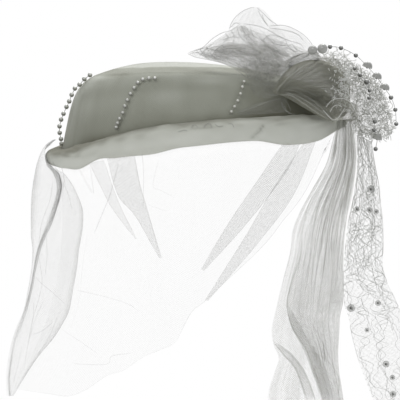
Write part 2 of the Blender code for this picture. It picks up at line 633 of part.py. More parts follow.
# Sprays: clear line with beads and cups. Each has its first and last depth, then right, down, radius in mm, kind
SPRAYS = {
    "spray_outer": (-0.078, -0.036, [(312.6, 50.0, 3.2, "cup"), (322.4, 48.6, 3.4, "cup"), (330, 46.8, 1.5, "bead"),
                                     (341, 48.0, 1.5, "bead"), (355.8, 55.4, 1.5, "bead"), (367.3, 66.5, 3.5, "cup"),
                                     (376.8, 77.2, 3.4, "cup"), (384.6, 88.2, 3.4, "cup"), (391.0, 97.5, 1.6, "bead"),
                                     (395.3, 109.7, 1.5, "bead"), (396.2, 123.9, 1.5, "bead")]),
    "spray_inner": (-0.0448, -0.0440, [(354.5, 68.5, 1.3, "bead"), (360.0, 75.0, 1.5, "bead"),
                                       (366.6, 82.0, 1.9, "bead"), (369.5, 90.5, 1.3, "bead"),
                                       (369.0, 98.0, 1.3, "bead")]),
    "spray_lower": (-0.0422, -0.0414, [(374.7, 121.5, 1.5, "bead"), (374.0, 130.2, 1.4, "bead"),
                                     (377.2, 138.2, 3.4, "cup"), (375.6, 149, 1.5, "bead")]),
}
SPRAY_STARTS = {"spray_outer": at(304.5, 58.5, -0.0770)}  # where a line comes out of the knot
for name, (first, last, rows) in SPRAYS.items():
    share = np.linspace(0, 1, len(rows))
    items = [(at(x, y, first + (last - first) * t), r / 1000, kind) for t, (x, y, r, kind) in zip(share, rows)]
    strand(name, bead_line(items, SPRAY_STARTS.get(name)), (0.34, 0.34, 0.33))

# Single pearls sewn to the net streamer. right, down, radius in mm
NET_PEARLS = [(371, 189, 2.3), (369.5, 210, 1.7), (376.3, 211.5, 1.6), (357, 209, 1.6), (351, 308, 2.4),
              (378, 303, 1.8), (367, 330, 1.5), (386, 364, 2.1), (392.5, 377.5, 1.7), (393, 394, 2.0)]
down_steps = np.linspace(0, net_grid.shape[1] - 1, 160)
net_lines = [[[np.interp(t, range(net_grid.shape[1]), line[:, k]) for k in range(3)] for t in down_steps]
             for line in net_grid]
net_fine = np.array([np.array(a) + (np.array(b) - np.array(a)) * t
                     for a, b in zip(net_lines, net_lines[1:]) for t in np.linspace(0, 1, 12)]).reshape(-1, 3)
net_dots = np.array([seen(p) for p in net_fine])
for k, (x, y, r) in enumerate(NET_PEARLS):
    under = np.hypot(*(net_dots - (x, y)).T) < max(r / 1000 / PER_DOT, 2.5)
    spot = at(x, y, net_fine[under, 1].min() - NET_WALL / 2 - r / 1000 - SEAT)
    loops = []
    for tilt in (-60, 0, 60):
        size, rise = math.cos(math.radians(tilt)), math.sin(math.radians(tilt))
        loops.append([spot + r / 1000 * np.array([size * math.cos(a), rise, size * math.sin(a)])
                      for a in np.linspace(0, 2 * math.pi, 11)[:-1]])
    rings(f"net_pearl_{k + 1:02d}", loops, (0.62, 0.60, 0.54), True, 0.3)
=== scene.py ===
# %% [markdown]
# A small oval bridal hat with a sheer face veil, a tulle bow, long streamers and strings of pearls. The
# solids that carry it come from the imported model. They are loaded first and never moved, and every piece made
# here stands for one of them or rides on them.

# %% Load the frame
import math

import bmesh
import bpy
import numpy as np
from mathutils import Matrix, Vector


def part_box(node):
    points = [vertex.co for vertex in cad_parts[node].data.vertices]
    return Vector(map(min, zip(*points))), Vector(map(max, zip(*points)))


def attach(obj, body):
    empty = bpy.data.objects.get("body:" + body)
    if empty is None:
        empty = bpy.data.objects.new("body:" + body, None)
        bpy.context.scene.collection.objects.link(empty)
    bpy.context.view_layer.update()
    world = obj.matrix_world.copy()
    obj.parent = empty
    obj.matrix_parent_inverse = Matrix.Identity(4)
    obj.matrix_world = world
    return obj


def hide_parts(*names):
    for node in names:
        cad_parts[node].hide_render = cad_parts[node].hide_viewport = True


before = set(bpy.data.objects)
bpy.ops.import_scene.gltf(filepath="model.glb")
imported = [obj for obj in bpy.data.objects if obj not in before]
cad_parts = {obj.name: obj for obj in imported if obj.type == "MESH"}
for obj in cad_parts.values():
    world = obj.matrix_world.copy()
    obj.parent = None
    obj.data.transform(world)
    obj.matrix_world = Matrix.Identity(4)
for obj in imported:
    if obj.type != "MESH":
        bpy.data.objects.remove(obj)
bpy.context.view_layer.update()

print("solids in the frame:", len(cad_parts))

# %% [markdown]
# The camera stands 1.4 m in front of the hat and 2 degrees above it, with a long lens, because the photograph
# has hardly any perspective. One dot of a 400 dot wide picture is then 0.7 mm at the hat's middle. Two small
# functions turn a dot and a depth into a point and back, so a shape can be drawn where it is seen.

# %% The camera and the picture's scale
PER_DOT = 0.0007
VIEW_DISTANCE = 1.4
VIEW_RISE = math.radians(2)
VIEW_CENTRE_Z = -0.0466

scene = bpy.context.scene
eye = Vector((0, -VIEW_DISTANCE * math.cos(VIEW_RISE), VIEW_CENTRE_Z + VIEW_DISTANCE * math.sin(VIEW_RISE)))
camera = bpy.data.objects.new("camera", bpy.data.cameras.new("camera"))
camera.data.sensor_width = 36
camera.data.lens = 180
camera.location = eye
camera.rotation_euler = (Vector((0, 0, VIEW_CENTRE_Z)) - eye).to_track_quat("-Z", "Y").to_euler()
scene.collection.objects.link(camera)
scene.camera = camera


def at(right, down, depth):
    """The point seen at this picture dot, at this depth behind (+) or before (-) the origin."""
    k = (200 - down) * PER_DOT / VIEW_DISTANCE
    c, s = math.cos(VIEW_RISE), math.sin(VIEW_RISE)
    z = (k * (VIEW_DISTANCE + depth * c) - depth * s) / (c + k * s)
    away = VIEW_DISTANCE + depth * c - z * s
    return np.array([(right - 200) * PER_DOT / VIEW_DISTANCE * away, depth, VIEW_CENTRE_Z + z])


def seen(points):
    """The picture dots at which points are seen."""
    points = np.asarray(points, float)
    z = points[..., 2] - VIEW_CENTRE_Z
    c, s = math.cos(VIEW_RISE), math.sin(VIEW_RISE)
    k = VIEW_DISTANCE / (VIEW_DISTANCE + points[..., 1] * c - z * s) / PER_DOT
    return np.stack([200 + points[..., 0] * k, 200 - (points[..., 1] * s + z * c) * k], axis=-1)


print("camera at", tuple(round(v, 3) for v in eye))

# %% [markdown]
# Cloth edges are drawn as a few dots joined by a smooth curve. A curve can be read at even steps of its
# length, and a table of values round the oval can be read at any angle.

# %% Curves
def spline(rows, places):
    """A smooth curve through the rows, read at places from 0 to 1."""
    rows = np.array(rows, float)
    padded = np.vstack([2 * rows[0] - rows[1], rows, 2 * rows[-1] - rows[-2]])
    x = np.clip(np.atleast_1d(places), 0, 1) * (len(rows) - 1)
    i = np.minimum(x.astype(int), len(rows) - 2)
    t = (x - i)[:, None]
    a, b, c, d = (padded[i + k] for k in range(4))
    return 0.5 * (2 * b + (c - a) * t + (2 * a - 5 * b + 4 * c - d) * t ** 2
                  + (3 * b - a - 3 * c + d) * t ** 3)


def by_length(rows, places):
    """The same curve, read at even steps of its length."""
    fine = spline(rows, np.linspace(0, 1, 300))
    steps = np.linalg.norm(np.diff(fine, axis=0), axis=1)
    along = np.concatenate([[0], np.cumsum(steps)]) / steps.sum()
    return np.stack([np.interp(places, along, fine[:, k]) for k in range(fine.shape[1])], axis=1)


def round_value(table, angle, column=1):
    """A table's value at an angle in degrees, smooth and without a seam."""
    table = sorted(table)
    values = np.array([row[column] for row in table], float)
    angles = np.array([row[0] for row in table], float)
    i = int(np.searchsorted(angles, angle % 360, side="right")) - 1
    around = [(i + k) % len(angles) for k in (-1, 0, 1, 2)]
    a, b, c, d = values[around]
    span = (angles[around[2]] - angles[around[1]]) % 360
    t = ((angle - angles[around[1]]) % 360) / span
    return float(0.5 * (2 * b + (c - a) * t + (2 * a - 5 * b + 4 * c - d) * t ** 2
                        + (3 * b - a - 3 * c + d) * t ** 3))


print("the middle of a short curve:", spline([(0, 0), (1, 2), (4, 2)], 0.5)[0])

# %% [markdown]
# Real cloth is never even. Its unevenness is smooth noise: a table of random numbers, read between its rows
# and columns. Each use has its own seed, so the script makes the same hat every time. A smooth step from 0 to
# 1 joins one region of a piece to the next without an edge.

# %% Soft noise and smooth steps
NOISE_CELLS = 64


def unit(v):
    """Vectors with a length of 1."""
    return v / np.maximum(np.linalg.norm(v, axis=-1, keepdims=True), 1e-12)


def lumps(u, v, wide, long, seed):
    """Smooth noise from -1 to 1, whose lumps are this wide across u and this long along v."""
    table = np.random.default_rng(seed).uniform(-1, 1, (NOISE_CELLS, NOISE_CELLS))
    x, y = np.asarray(u) / wide, np.asarray(v) / long
    i, j = np.floor(x).astype(int), np.floor(y).astype(int)
    a, b = x - i, y - j
    a, b = a * a * (3 - 2 * a), b * b * (3 - 2 * b)
    corner = [[table[(i + p) % NOISE_CELLS, (j + q) % NOISE_CELLS] for q in (0, 1)] for p in (0, 1)]
    return ((corner[0][0] * (1 - b) + corner[0][1] * b) * (1 - a)
            + (corner[1][0] * (1 - b) + corner[1][1] * b) * a)


def step(value, low, high):
    """0 below low, 1 above high, smooth between."""
    t = np.clip((value - low) / (high - low), 0, 1)
    return t * t * (3 - 2 * t)


print("a quarter of the way up a step:", round(float(step(0.25, 0, 1)), 3))

# %% [markdown]
# Finishes are written as Python expressions. A small class wraps a socket, so that adding or multiplying two
# of them puts a Math node between them, and one method makes any other node.

# %% Writing materials
class Wire:
    """A socket whose sums and products add Math nodes."""

    def __init__(self, tree, socket):
        self.tree, self.socket = tree, socket

    def math(self, kind, other=0.0, turned=False):
        """A Math node of this kind on the socket and another value, or with the two turned round."""
        node = self.tree.nodes.new("ShaderNodeMath")
        node.operation = kind
        for socket, value in zip(node.inputs, (other, self) if turned else (self, other)):
            if isinstance(value, Wire):
                self.tree.links.new(value.socket, socket)
            else:
                socket.default_value = value
        return Wire(self.tree, node.outputs[0])

    def __add__(self, other):
        return self.math("ADD", other)

    def __sub__(self, other):
        return self.math("SUBTRACT", other)

    def __rsub__(self, other):
        return self.math("SUBTRACT", other, True)

    def __mul__(self, other):
        return self.math("MULTIPLY", other)

    def __truediv__(self, other):
        return self.math("DIVIDE", other)

    def __pow__(self, other):
        return self.math("POWER", other)

    __radd__, __rmul__ = __add__, __mul__


class Finish:
    """A material with one Principled shader, and one way to add nodes to it."""

    def __init__(self, name, fixed):
        self.mat = bpy.data.materials.new(name)
        self.mat.use_nodes = True
        self.tree = self.mat.node_tree
        self.shader = self.tree.nodes["Principled BSDF"]
        for socket, value in fixed.items():
            self.shader.inputs[socket].default_value = value

    def join(self, value, socket):
        """Links a wire to a socket, or sets a plain value on it."""
        if isinstance(value, Wire):
            self.tree.links.new(value.socket, socket)
        else:
            socket.default_value = value

    def node(self, kind, settings, inputs, out=0):
        """Any node: its type, its settings, and the values or wires of its sockets."""
        node = self.tree.nodes.new(kind)
        for key, value in settings.items():
            setattr(node, key, value)
        for key, value in inputs.items():
            self.join(value, node.inputs[key])
        return Wire(self.tree, node.outputs[out])

    def feed(self, socket, value):
        self.join(value, self.shader.inputs[socket])

    def cloth_place(self):
        """The two ways along the cloth, in metres, from the piece's own UV map."""
        place = self.node("ShaderNodeUVMap", {"uv_map": "UVMap"}, {})
        split = self.tree.nodes.new("ShaderNodeSeparateXYZ")
        self.join(place, split.inputs[0])
        return Wire(self.tree, split.outputs[0]), Wire(self.tree, split.outputs[1]), place

    def noise(self, place, scale, detail=3.0, rough=0.5):
        return self.node("ShaderNodeTexNoise", {}, {"Vector": place, "Scale": scale, "Detail": detail,
                                                    "Roughness": rough})

    def mix(self, share, first, second):
        """From the first colour (share 0) to the second (share 1)."""
        return self.node("ShaderNodeMix", {"data_type": "RGBA"}, {0: share, 6: first, 7: second}, 2)

    def bump(self, height, depth):
        self.feed("Normal", self.node("ShaderNodeBump", {},
                                      {"Strength": 1.0, "Distance": depth, "Height": height}))


def net(across, along, cell, thin):
    """Two families of diagonal threads: 1 on a thread, near 0 in a hole. A higher thin is a finer thread."""
    diagonals = (across + along, across - along)
    first, second = (((way / cell).math("FRACT") - 0.5).math("ABSOLUTE") * 2 for way in diagonals)
    return (first ** thin).math("MAXIMUM", second ** thin)


# %% [markdown]
# Tulle is a fine net, and what the eye sees of it is how much of the ground it covers. Each finish therefore
# has a cover, the share of one flat layer that is thread. Every cloth mesh carries a gather value, which says
# how many times more thread there is where the cloth is crinkled or rolled. It multiplies the cover, and it
# also darkens the tulle's colour into painted shade there.

# %% Tulle and net
def tulle(name, colour, shade, cover, cell=0.0011, thin=5.0, contrast=0.9, rough=0.72, grain=0.5):
    """Fine net: colour where it is clean, a painted shade colour where it is gathered in folds. cover is the
    thread's share of one layer.
    """
    finish = Finish(name, {"Roughness": rough, "Sheen Weight": 0.15, "Specular IOR Level": 0.25})
    across, along, place = finish.cloth_place()
    wander = finish.noise(place, 160.0, 2.0) * (cell * 0.8)
    threads = net(across + wander, along + wander, cell, thin)
    gather = finish.node("ShaderNodeAttribute", {"attribute_name": "gather"}, {}, 2)
    average = 1.7 / (thin + 1)  # how much of the ground such a net covers
    evenness = finish.noise(place, 35.0, 3.0) * 0.5 + 0.75
    grains = finish.noise(place, 520.0, 2.0, 0.7) * (2 * grain) + (1 - grain)
    share = (threads * (contrast / average) + (1 - contrast)) * gather * evenness * grains * cover
    finish.feed("Alpha", share.math("MINIMUM", 1.0))
    # The colour darkens into the shade colour where there is more cloth: painted shade in the folds.
    finish.feed("Base Color", finish.mix(finish.noise(place, 60.0) * (gather * 0.5).math("MINIMUM", 1.0),
                                         (*colour, 1), (*shade, 1)))
    finish.bump(threads, 0.00010)
    return finish.mat


# Each tulle's second colour is the painted shade that its folds, creases and rolled edges take on.
VEIL = tulle("veil_tulle", (0.64, 0.64, 0.61), (0.52, 0.52, 0.49), 0.055)
DART = tulle("dart_tulle", (0.62, 0.62, 0.59), (0.50, 0.50, 0.47), 0.115, grain=1.0)
FALL = tulle("fall_tulle", (0.60, 0.60, 0.57), (0.47, 0.47, 0.44), 0.085)
SHEER = tulle("bow_sheer_tulle", (0.60, 0.60, 0.58), (0.24, 0.24, 0.22), 0.065, grain=0.9)
BOW = tulle("bow_tulle", (0.53, 0.53, 0.485), (0.42, 0.42, 0.37), 0.235, grain=1.1)
# The knot's and the swathes' tulle is coloured darker than the bow's: painted shade, for the knot lies in
# shadow.
KNOT = tulle("knot_tulle", (0.38, 0.38, 0.31), (0.26, 0.255, 0.195), 1.30)
SWATHE = tulle("swathe_tulle", (0.44, 0.44, 0.375), (0.30, 0.295, 0.235), 0.36)
# Pale tulle for the painted highlights along the knot's edges.
HIGHLIGHT_EDGE = tulle("painted_highlight_tulle", (0.74, 0.74, 0.67), (0.60, 0.60, 0.53), 0.45)
STREAM = tulle("streamer_tulle", (0.56, 0.56, 0.505), (0.40, 0.40, 0.34), 0.105, grain=0.9)
NET = tulle("coarse_net", (0.56, 0.56, 0.53), (0.42, 0.42, 0.39), 0.055, cell=0.0042, thin=22.0,
            contrast=0.45)
POUF = tulle("pouf_net", (0.56, 0.56, 0.52), (0.42, 0.42, 0.38), 0.17, cell=0.0026, thin=5.0, contrast=0.8)
print("tulles and nets:", len(bpy.data.materials))

# %% [markdown]
# The crown and the brim are matt ivory cloth under one stretched layer of fine tulle. The cloth has a weave,
# clouds of colour and long streaks. It reads the same gather value as the tulle does, but as painted shading:
# below 1 it sinks into a dark colour of painted shade, and above 1 it turns pale with painted light.

# %% The crown's and the brim's cloth
WEAVE_TURNS = 9000.0  # radians per metre, so a thread is 0.35 mm


def plain_cloth(name, colour, shade, light, deep):
    """Matt ivory cloth under one stretched layer of fine tulle, with painted shade and light from its mesh's
    value.
    """
    finish = Finish(name, {"Roughness": 0.85, "Sheen Weight": 0.25, "Specular IOR Level": 0.2})
    across, along, place = finish.cloth_place()
    threads = net(across, along, 0.0012, 6.0)
    weave = ((across * WEAVE_TURNS).math("SINE") * (along * WEAVE_TURNS).math("SINE")) * 0.5 + 0.5
    clouds = finish.noise(place, 22.0, 4.0, 0.6)
    stretched = finish.node("ShaderNodeMapping", {}, {"Vector": place, "Scale": (18.0, 120.0, 1.0)})
    streaks = finish.noise(stretched, 1.0, 3.0)
    base = finish.mix(clouds, (*shade, 1), (*colour, 1))
    base = finish.mix(streaks * 0.35, base, (*shade, 1))
    base = finish.mix(threads * 0.35, base, (*light, 1))
    tone = finish.node("ShaderNodeAttribute", {"attribute_name": "gather"}, {}, 2)
    # Below 1 the value paints shade with the deep colour, and above 1 it paints light with the light colour.
    base = finish.mix(tone.math("MINIMUM", 1.0), (*deep, 1), base)
    finish.feed("Base Color", finish.mix((tone + -1.0).math("MAXIMUM", 0.0), base, (*light, 1)))
    finish.bump(weave * 0.4 + threads, 0.00012)
    return finish.mat


# The last colour of each cloth is the painted shade of its seam and its shadows.
CROWN = plain_cloth("crown_cloth", (0.50, 0.51, 0.43), (0.41, 0.42, 0.345), (0.84, 0.85, 0.78),
                    (0.155, 0.15, 0.10))
# The brim's colours are a paler copy of the crown's: painted light where the thin brim glows against the light
# behind it.
BRIM = plain_cloth("brim_cloth", (0.84, 0.85, 0.76), (0.72, 0.73, 0.645), (0.97, 0.98, 0.90),
                   (0.24, 0.23, 0.165))


# %% [markdown]
# Pearls are given a painted highlight in their middle and painted shade towards their edges. Each ball
# therefore carries a painted highlight value, which is high where it faces up and to the front or the back,
# and the finish mixes its two colours by it. Threads and clear line have one colour, which sits on the shader
# itself, and only their roughness is clouded.

# %% Beads, sequins and threads
CLOUDS_PER_METRE = 900.0


def clouded(finish, rough):
    """Feeds a roughness that varies a little over the surface."""
    clouds = finish.noise(finish.node("ShaderNodeTexCoord", {}, {}, 3), CLOUDS_PER_METRE, 2.0)
    finish.feed("Roughness", clouds * 0.12 + rough)


def bead_finish(name, colour, edge, rough, coat, metal=0.0, alpha=1.0):
    """A bead or sequin with one colour for its painted highlight and another for the painted shade at its
    edges.
    """
    finish = Finish(name, {"Coat Weight": coat, "Coat Roughness": 0.08, "Metallic": metal, "Alpha": alpha})
    lustre = finish.node("ShaderNodeAttribute", {"attribute_name": "lustre"}, {}, 2)
    finish.feed("Base Color", finish.mix(lustre.math("MINIMUM", 1.0), (*edge, 1), (*colour, 1)))
    clouded(finish, rough)
    return finish.mat


def thread_finish(name, colour, rough, coat, alpha=1.0):
    """Thread or clear line, of one colour."""
    finish = Finish(name, {"Base Color": (*colour, 1), "Coat Weight": coat, "Coat Roughness": 0.08,
                           "Alpha": alpha})
    clouded(finish, rough)
    return finish.mat


# Each bead's first colour is its painted highlight, and its second the painted shade at its edges.
PEARL = bead_finish("pearl", (0.97, 0.97, 0.92), (0.30, 0.30, 0.26), 0.22, 0.8)
# A paler copy of the pearl, painted lighter for the garland that lies on the crown.
PEARL_PAINTED_LIGHTER = bead_finish("pearl_painted_lighter", (0.97, 0.97, 0.90), (0.38, 0.38, 0.32), 0.22, 0.8)
GREY_BEAD = bead_finish("grey_bead", (0.50, 0.50, 0.48), (0.15, 0.15, 0.14), 0.20, 0.9, metal=0.2)
CUP = bead_finish("cup_sequin", (0.60, 0.60, 0.57), (0.56, 0.56, 0.53), 0.30, 0.5, alpha=0.75)
THREAD = thread_finish("thread", (0.48, 0.48, 0.44), 0.6, 0.0)
# A paler copy of the net's thread, for painted highlights.
HIGHLIGHT_THREAD = thread_finish("thread_painted_highlight", (0.80, 0.80, 0.77), 0.5, 0.2)
NET_THREAD = thread_finish("net_thread", (0.58, 0.58, 0.55), 0.6, 0.0)
NET_CUP = bead_finish("net_cup", (0.84, 0.84, 0.82), (0.78, 0.78, 0.76), 0.35, 0.3, alpha=0.45)
CLEAR = thread_finish("clear_line", (0.46, 0.46, 0.46), 0.15, 0.5, alpha=0.6)
print("materials:", len(bpy.data.materials))

# %% [markdown]
# A sheet of cloth is a bmesh grid whose vertices are moved to a table of points. Its UV map is measured along
# the cloth in metres, so a net's cells keep their size in every fold. A sheet may be joined from several
# grids, such as the cloth itself and the narrow pinched folds on it.

# %% How much cloth lies in a place
def softened(points, times):
    """A grid with each point drawn towards its neighbours, this many times."""
    out = points.copy()
    for _ in range(times):
        out[1:-1] = (out[:-2] + 2 * out[1:-1] + out[2:]) / 4
        out[:, 1:-1] = (out[:, :-2] + 2 * out[:, 1:-1] + out[:, 2:]) / 4
    return out


def cell_size(points):
    """The area of the cloth about each point of a grid."""
    return np.linalg.norm(np.cross(np.gradient(points, axis=0), np.gradient(points, axis=1)), axis=-1)


def gather_of(points, times=10, most=3.5):
    """How many times more cloth there is at each point than in the smoothed sheet."""
    share = cell_size(points) / np.maximum(cell_size(softened(points, times)), 1e-12)
    return np.clip(softened(share[..., None], 1)[..., 0], 0.8, most)


# %% [markdown]
# Every piece rides on the hat's one body, and takes the finishes that it is given. A piece that stands for a
# solid is given that solid's name, and the solid is then hidden.

# %% Making a piece
def add_grid(bm, points, gather, closed=False):
    """Adds one grid of cloth to a bmesh, with its UV map in metres and its gather."""
    rows, columns = points.shape[:2]
    part = bmesh.new()
    bmesh.ops.create_grid(part, x_segments=columns - 1, y_segments=rows - 1, size=1)
    across = np.concatenate([[0], np.cumsum(np.linalg.norm(np.diff(points, axis=1), axis=2).mean(axis=0))])
    along = np.concatenate([[0], np.cumsum(np.linalg.norm(np.diff(points, axis=0), axis=2).mean(axis=1))])
    uv = part.loops.layers.uv.new("UVMap")
    layer = part.verts.layers.float.new("gather")
    spots = {}
    for vert in part.verts:
        spots[vert] = (round((vert.co.y + 1) / 2 * (rows - 1)), round((vert.co.x + 1) / 2 * (columns - 1)))
    for face in part.faces:
        for loop in face.loops:
            i, j = spots[loop.vert]
            loop[uv].uv = (across[j], along[i])
    for vert, (i, j) in spots.items():
        vert[layer] = float(gather[i, j])
        vert.co = points[i, j]
    if closed:
        bmesh.ops.remove_doubles(part, verts=part.verts, dist=1e-6)
    mesh = bpy.data.meshes.new("part")
    part.to_mesh(mesh)
    part.free()
    bm.from_mesh(mesh)
    bpy.data.meshes.remove(mesh)


def piece(name, bm, finish, solids=()):
    """Turns a bmesh into an object of the hat."""
    mesh = bpy.data.meshes.new(name)
    bm.to_mesh(mesh)
    bm.free()
    for polygon in mesh.polygons:
        polygon.use_smooth = True
    obj = bpy.data.objects.new(name, mesh)
    scene.collection.objects.link(obj)
    for mat in finish if isinstance(finish, (list, tuple)) else [finish]:
        mesh.materials.append(mat)
    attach(obj, "root")
    if solids:
        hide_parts(*solids)
    print(f"{name}: {len(mesh.polygons)} faces")
    return obj


def cloth(name, grids, finish, solids=(), closed=False):
    """A piece of cloth from one or more (points, gather) grids."""
    bm = bmesh.new()
    bm.loops.layers.uv.new("UVMap")
    bm.verts.layers.float.new("gather")
    for points, gather in grids:
        gather = gather_of(points) if gather is None else np.broadcast_to(gather, points.shape[:2])
        add_grid(bm, points, gather, closed)
    area = sum(face.calc_area() for face in bm.faces)
    print(f"{name}: {area * 1e4:.0f} square cm of cloth")
    return piece(name, bm, finish, solids)


# %% [markdown]
# A crease or a rolled edge is a narrow strip of doubled cloth. It is laid on the surface below it, along a
# line drawn in the picture, and its gather makes it read as a thin bright or dark line.

# %% Laying a fold on a surface
class Skin:
    """A surface's points with the picture dots that they are seen at, for laying things on it."""

    def __init__(self, points):
        self.points = points.reshape(-1, 3)
        self.dots = seen(self.points)

    def over(self, right, down, off, reach=1.2):
        """The point over a dot that stands this far before the surface."""
        far = np.hypot(*(self.dots - (right, down)).T)
        near = far < max(reach, far.min() + 0.3)
        return at(right, down, self.points[near, 1].min() - off)


def pinch(skin, line, wide, off=0.0005, strength=3.0, count=40, reach=1.2):
    """A narrow fold along a line of dots: a strip of cloth laid on a surface, which fades at both ends."""
    line = by_length(line, np.linspace(0, 1, count))
    ways = unit(np.gradient(line, axis=0))
    sides = np.stack([-ways[:, 1], ways[:, 0]], axis=1)
    grid = np.array([[skin.over(*(p + side * wide * w), off + 0.0003 * (w == 0), reach)
                      for w in (-0.5, 0, 0.5)] for p, side in zip(line, sides)])
    grid[:, :, 1] = softened(grid, 3)[:, :, 1]
    fade = np.minimum(1, np.sin(np.linspace(0, math.pi, count)) * 3)[:, None]
    return grid, strength * fade * np.array([0.5, 1.0, 0.5])[None]


# %% [markdown]
# The crown is a shallow oval bowl, cut higher at the left end. The real one is a stiff form with cloth
# stretched over it. It could be lofted from a few ovals, but its base and its top edge rise and fall all
# round, so each of its lines runs from a table of base heights up a drawn side to a table of top heights, and
# over a slightly domed tip.

# %% The crown's shape
CROWN_RX, CROWN_RY = 0.0970, 0.0880
CROWN_MID_X = 0.0005
TIP_RX, TIP_RY = 0.0815, 0.0760
TIP_PEAK = np.array([-0.024, 0.000, 0.0500])
WALL = 0.0020
SEAT = 0.0003
BASE_RISE = [(0, 0.0095), (45, 0.0117), (90, 0.0103), (135, -0.0018), (180, -0.0102), (200, -0.0112),
             (225, -0.0058), (245, 0.0020), (270, 0.0072), (290, 0.0093), (315, 0.0114)]
TIP_RISE = [(0, 0.0320), (45, 0.0350), (90, 0.0395), (135, 0.0403), (180, 0.0398),
            (225, 0.0404), (252, 0.0408), (270, 0.0402), (290, 0.0386), (315, 0.0362)]
CROWN_SIDE = [(0.00, 0.00), (0.14, 0.30), (0.29, 0.58), (0.46, 0.77), (0.71, 0.92), (1.00, 1.00)]


def base_point(angle, out=0.0, down=0.0):
    """A point on the crown's base oval, moved out and down."""
    a = math.radians(angle)
    way = unit(np.array([math.cos(a) / CROWN_RX, math.sin(a) / CROWN_RY, 0.0]))
    ring = np.array([CROWN_MID_X + CROWN_RX * math.cos(a), CROWN_RY * math.sin(a),
                     round_value(BASE_RISE, angle)])
    return ring + way * out - np.array([0, 0, down])


def tip_point(angle):
    """A point on the crown's top edge."""
    a = math.radians(angle)
    wide = TIP_RX - 0.0056 * max(-math.cos(a), 0) ** 2
    return np.array([CROWN_MID_X + wide * math.cos(a), TIP_RY * math.sin(a), round_value(TIP_RISE, angle)])


def crown_line(angle, side_steps, dome_steps):
    """The crown's outer line at an angle, from its base up the side and over the domed tip."""
    low, high = base_point(angle), tip_point(angle)
    line = [[*(low + (high - low) * step[0])[:2], low[2] + (high[2] - low[2]) * step[1]]
            for step in side_steps]
    for part in dome_steps:
        p = high + (TIP_PEAK - high) * part
        p[2] = high[2] + (TIP_PEAK[2] - high[2]) * (1 - (1 - part) ** 2)
        line.append(p)
    return line


def ways_out(points, middle):
    """The directions in which a grid faces, all away from a middle point."""
    ways = unit(np.cross(np.gradient(points, axis=0), np.gradient(points, axis=1)))
    return ways * np.sign(((points - middle) * ways).sum(axis=-1, keepdims=True))


crown_angles = np.linspace(0, 360, 301)
side_steps = spline(CROWN_SIDE, np.linspace(0, 1, 44))
dome_steps = np.linspace(0.03, 1, 36)
crown_skin = np.array([crown_line(a, side_steps, dome_steps) for a in crown_angles])
print("crown's grid:", crown_skin.shape[:2])

# %% [markdown]
# Cloth that is stretched on the bias gathers finely towards the seam at its base and lies in slow, shallow
# lumps above it. Both are noise, which moves the surface along the directions in which it faces.

# %% The crown's gathers
turn, rise = np.meshgrid(crown_angles, np.linspace(0, 1, crown_skin.shape[1]), indexing="ij")
near_base = np.clip(1 - rise / 0.35, 0, 1)
gathers = lumps(turn, rise, 2.4, 0.30, 3) * 0.00035 * near_base + lumps(turn, rise, 9.0, 0.5, 4) * 0.00035
gathers += lumps(turn, rise, 4.0, 0.12, 5) * 0.00012
gathers[-1] = gathers[0]
crown_out = ways_out(crown_skin, np.array([0, 0, 0.005]))
crown_out[-1] = crown_out[0]
gathers *= np.clip((1 - rise) / 0.2, 0, 1)
print(f"deepest gather: {np.abs(gathers).max() * 1000:.2f} mm")

# %% [markdown]
# The cloth's tone is painted shade and light: shade in the seam, in the bow's shadow and on the front, and a
# pale strip of painted light on the tip. Soft patches paint lighter and darker places where they are seen, and
# slow random lumps vary it besides. The tone is drawn in the picture's dots, so that each patch lies where it
# is seen, and it fades out round the sides, where nothing is known.

# %% The crown's tone
TONE_LEAST, TONE_MOST = 0.15, 1.6
# Each patch is right, down, half width and half height in dots, and the change of tone, which paints light
# above 0 and shade below 0.
CROWN_PATCHES = [
    (168, 77, 15, 4, 0.22), (208, 82, 17, 5, 0.16), (101, 77, 8, 3, 0.30), (197, 67, 7, 2.5, 0.20),
    (150, 74, 10, 2, 0.12), (122, 73, 10, 4, -0.18), (170, 116, 26, 3, -0.10), (140, 122, 24, 4, -0.08),
    (90, 138, 26, 6, -0.10)]


def in_front(points):
    """1 on the viewer's side of the hat, and 0 behind it."""
    return 1 - step(points[..., 1], -0.010, 0.035)


def soft_patch(over, down, x, y, wide, tall):
    """1 at a dot, and less the further away from it."""
    return np.exp(-((over - x) / wide) ** 2 - ((down - y) / tall) ** 2)


crown_dots = seen(crown_skin)
over, down = crown_dots[..., 0], crown_dots[..., 1]
fore = in_front(crown_skin)
height = crown_skin[..., 2] - crown_skin[:, :1, 2]
# Painted shade in the seam, and painted light higher up the wall.
crown_tone = 1.0 - 0.34 * np.exp(-(height / 0.0042) ** 2) - 0.10 * np.exp(-(height / 0.014) ** 2)
crown_tone += 0.12 * step(height, 0.014, 0.034)
# Painted shade on the front, then slow random lumps of tone.
crown_tone -= fore * 0.05
crown_tone += lumps(turn, rise, 16.0, 0.10, 11) * 0.16 + lumps(turn, rise, 5.0, 0.22, 12) * 0.10
# Painted shadow under the bow's left loop, and painted shade on the left.
crown_tone -= (fore * (0.44 * step(over, 228, 262) * step(down, 74, 92))
               + 0.08 * fore * (1 - step(over, 90, 130)))
# A band of painted shade below the tip, and a pale strip of painted light on the tip.
crown_tone -= 0.28 * step(crown_skin[..., 2], 0.0375, 0.0402) * (1 - step(crown_skin[..., 2], 0.0440, 0.0452))
crown_tone += (0.72 * step(crown_skin[..., 2], 0.0444, 0.0458)
               * (1 - 0.6 * step(crown_skin[..., 1], -0.045, 0.0)))
# Soft patches of painted light and shade.
for x, y, wide, tall, change in CROWN_PATCHES:
    crown_tone += fore * change * soft_patch(over, down, x, y, wide, tall)
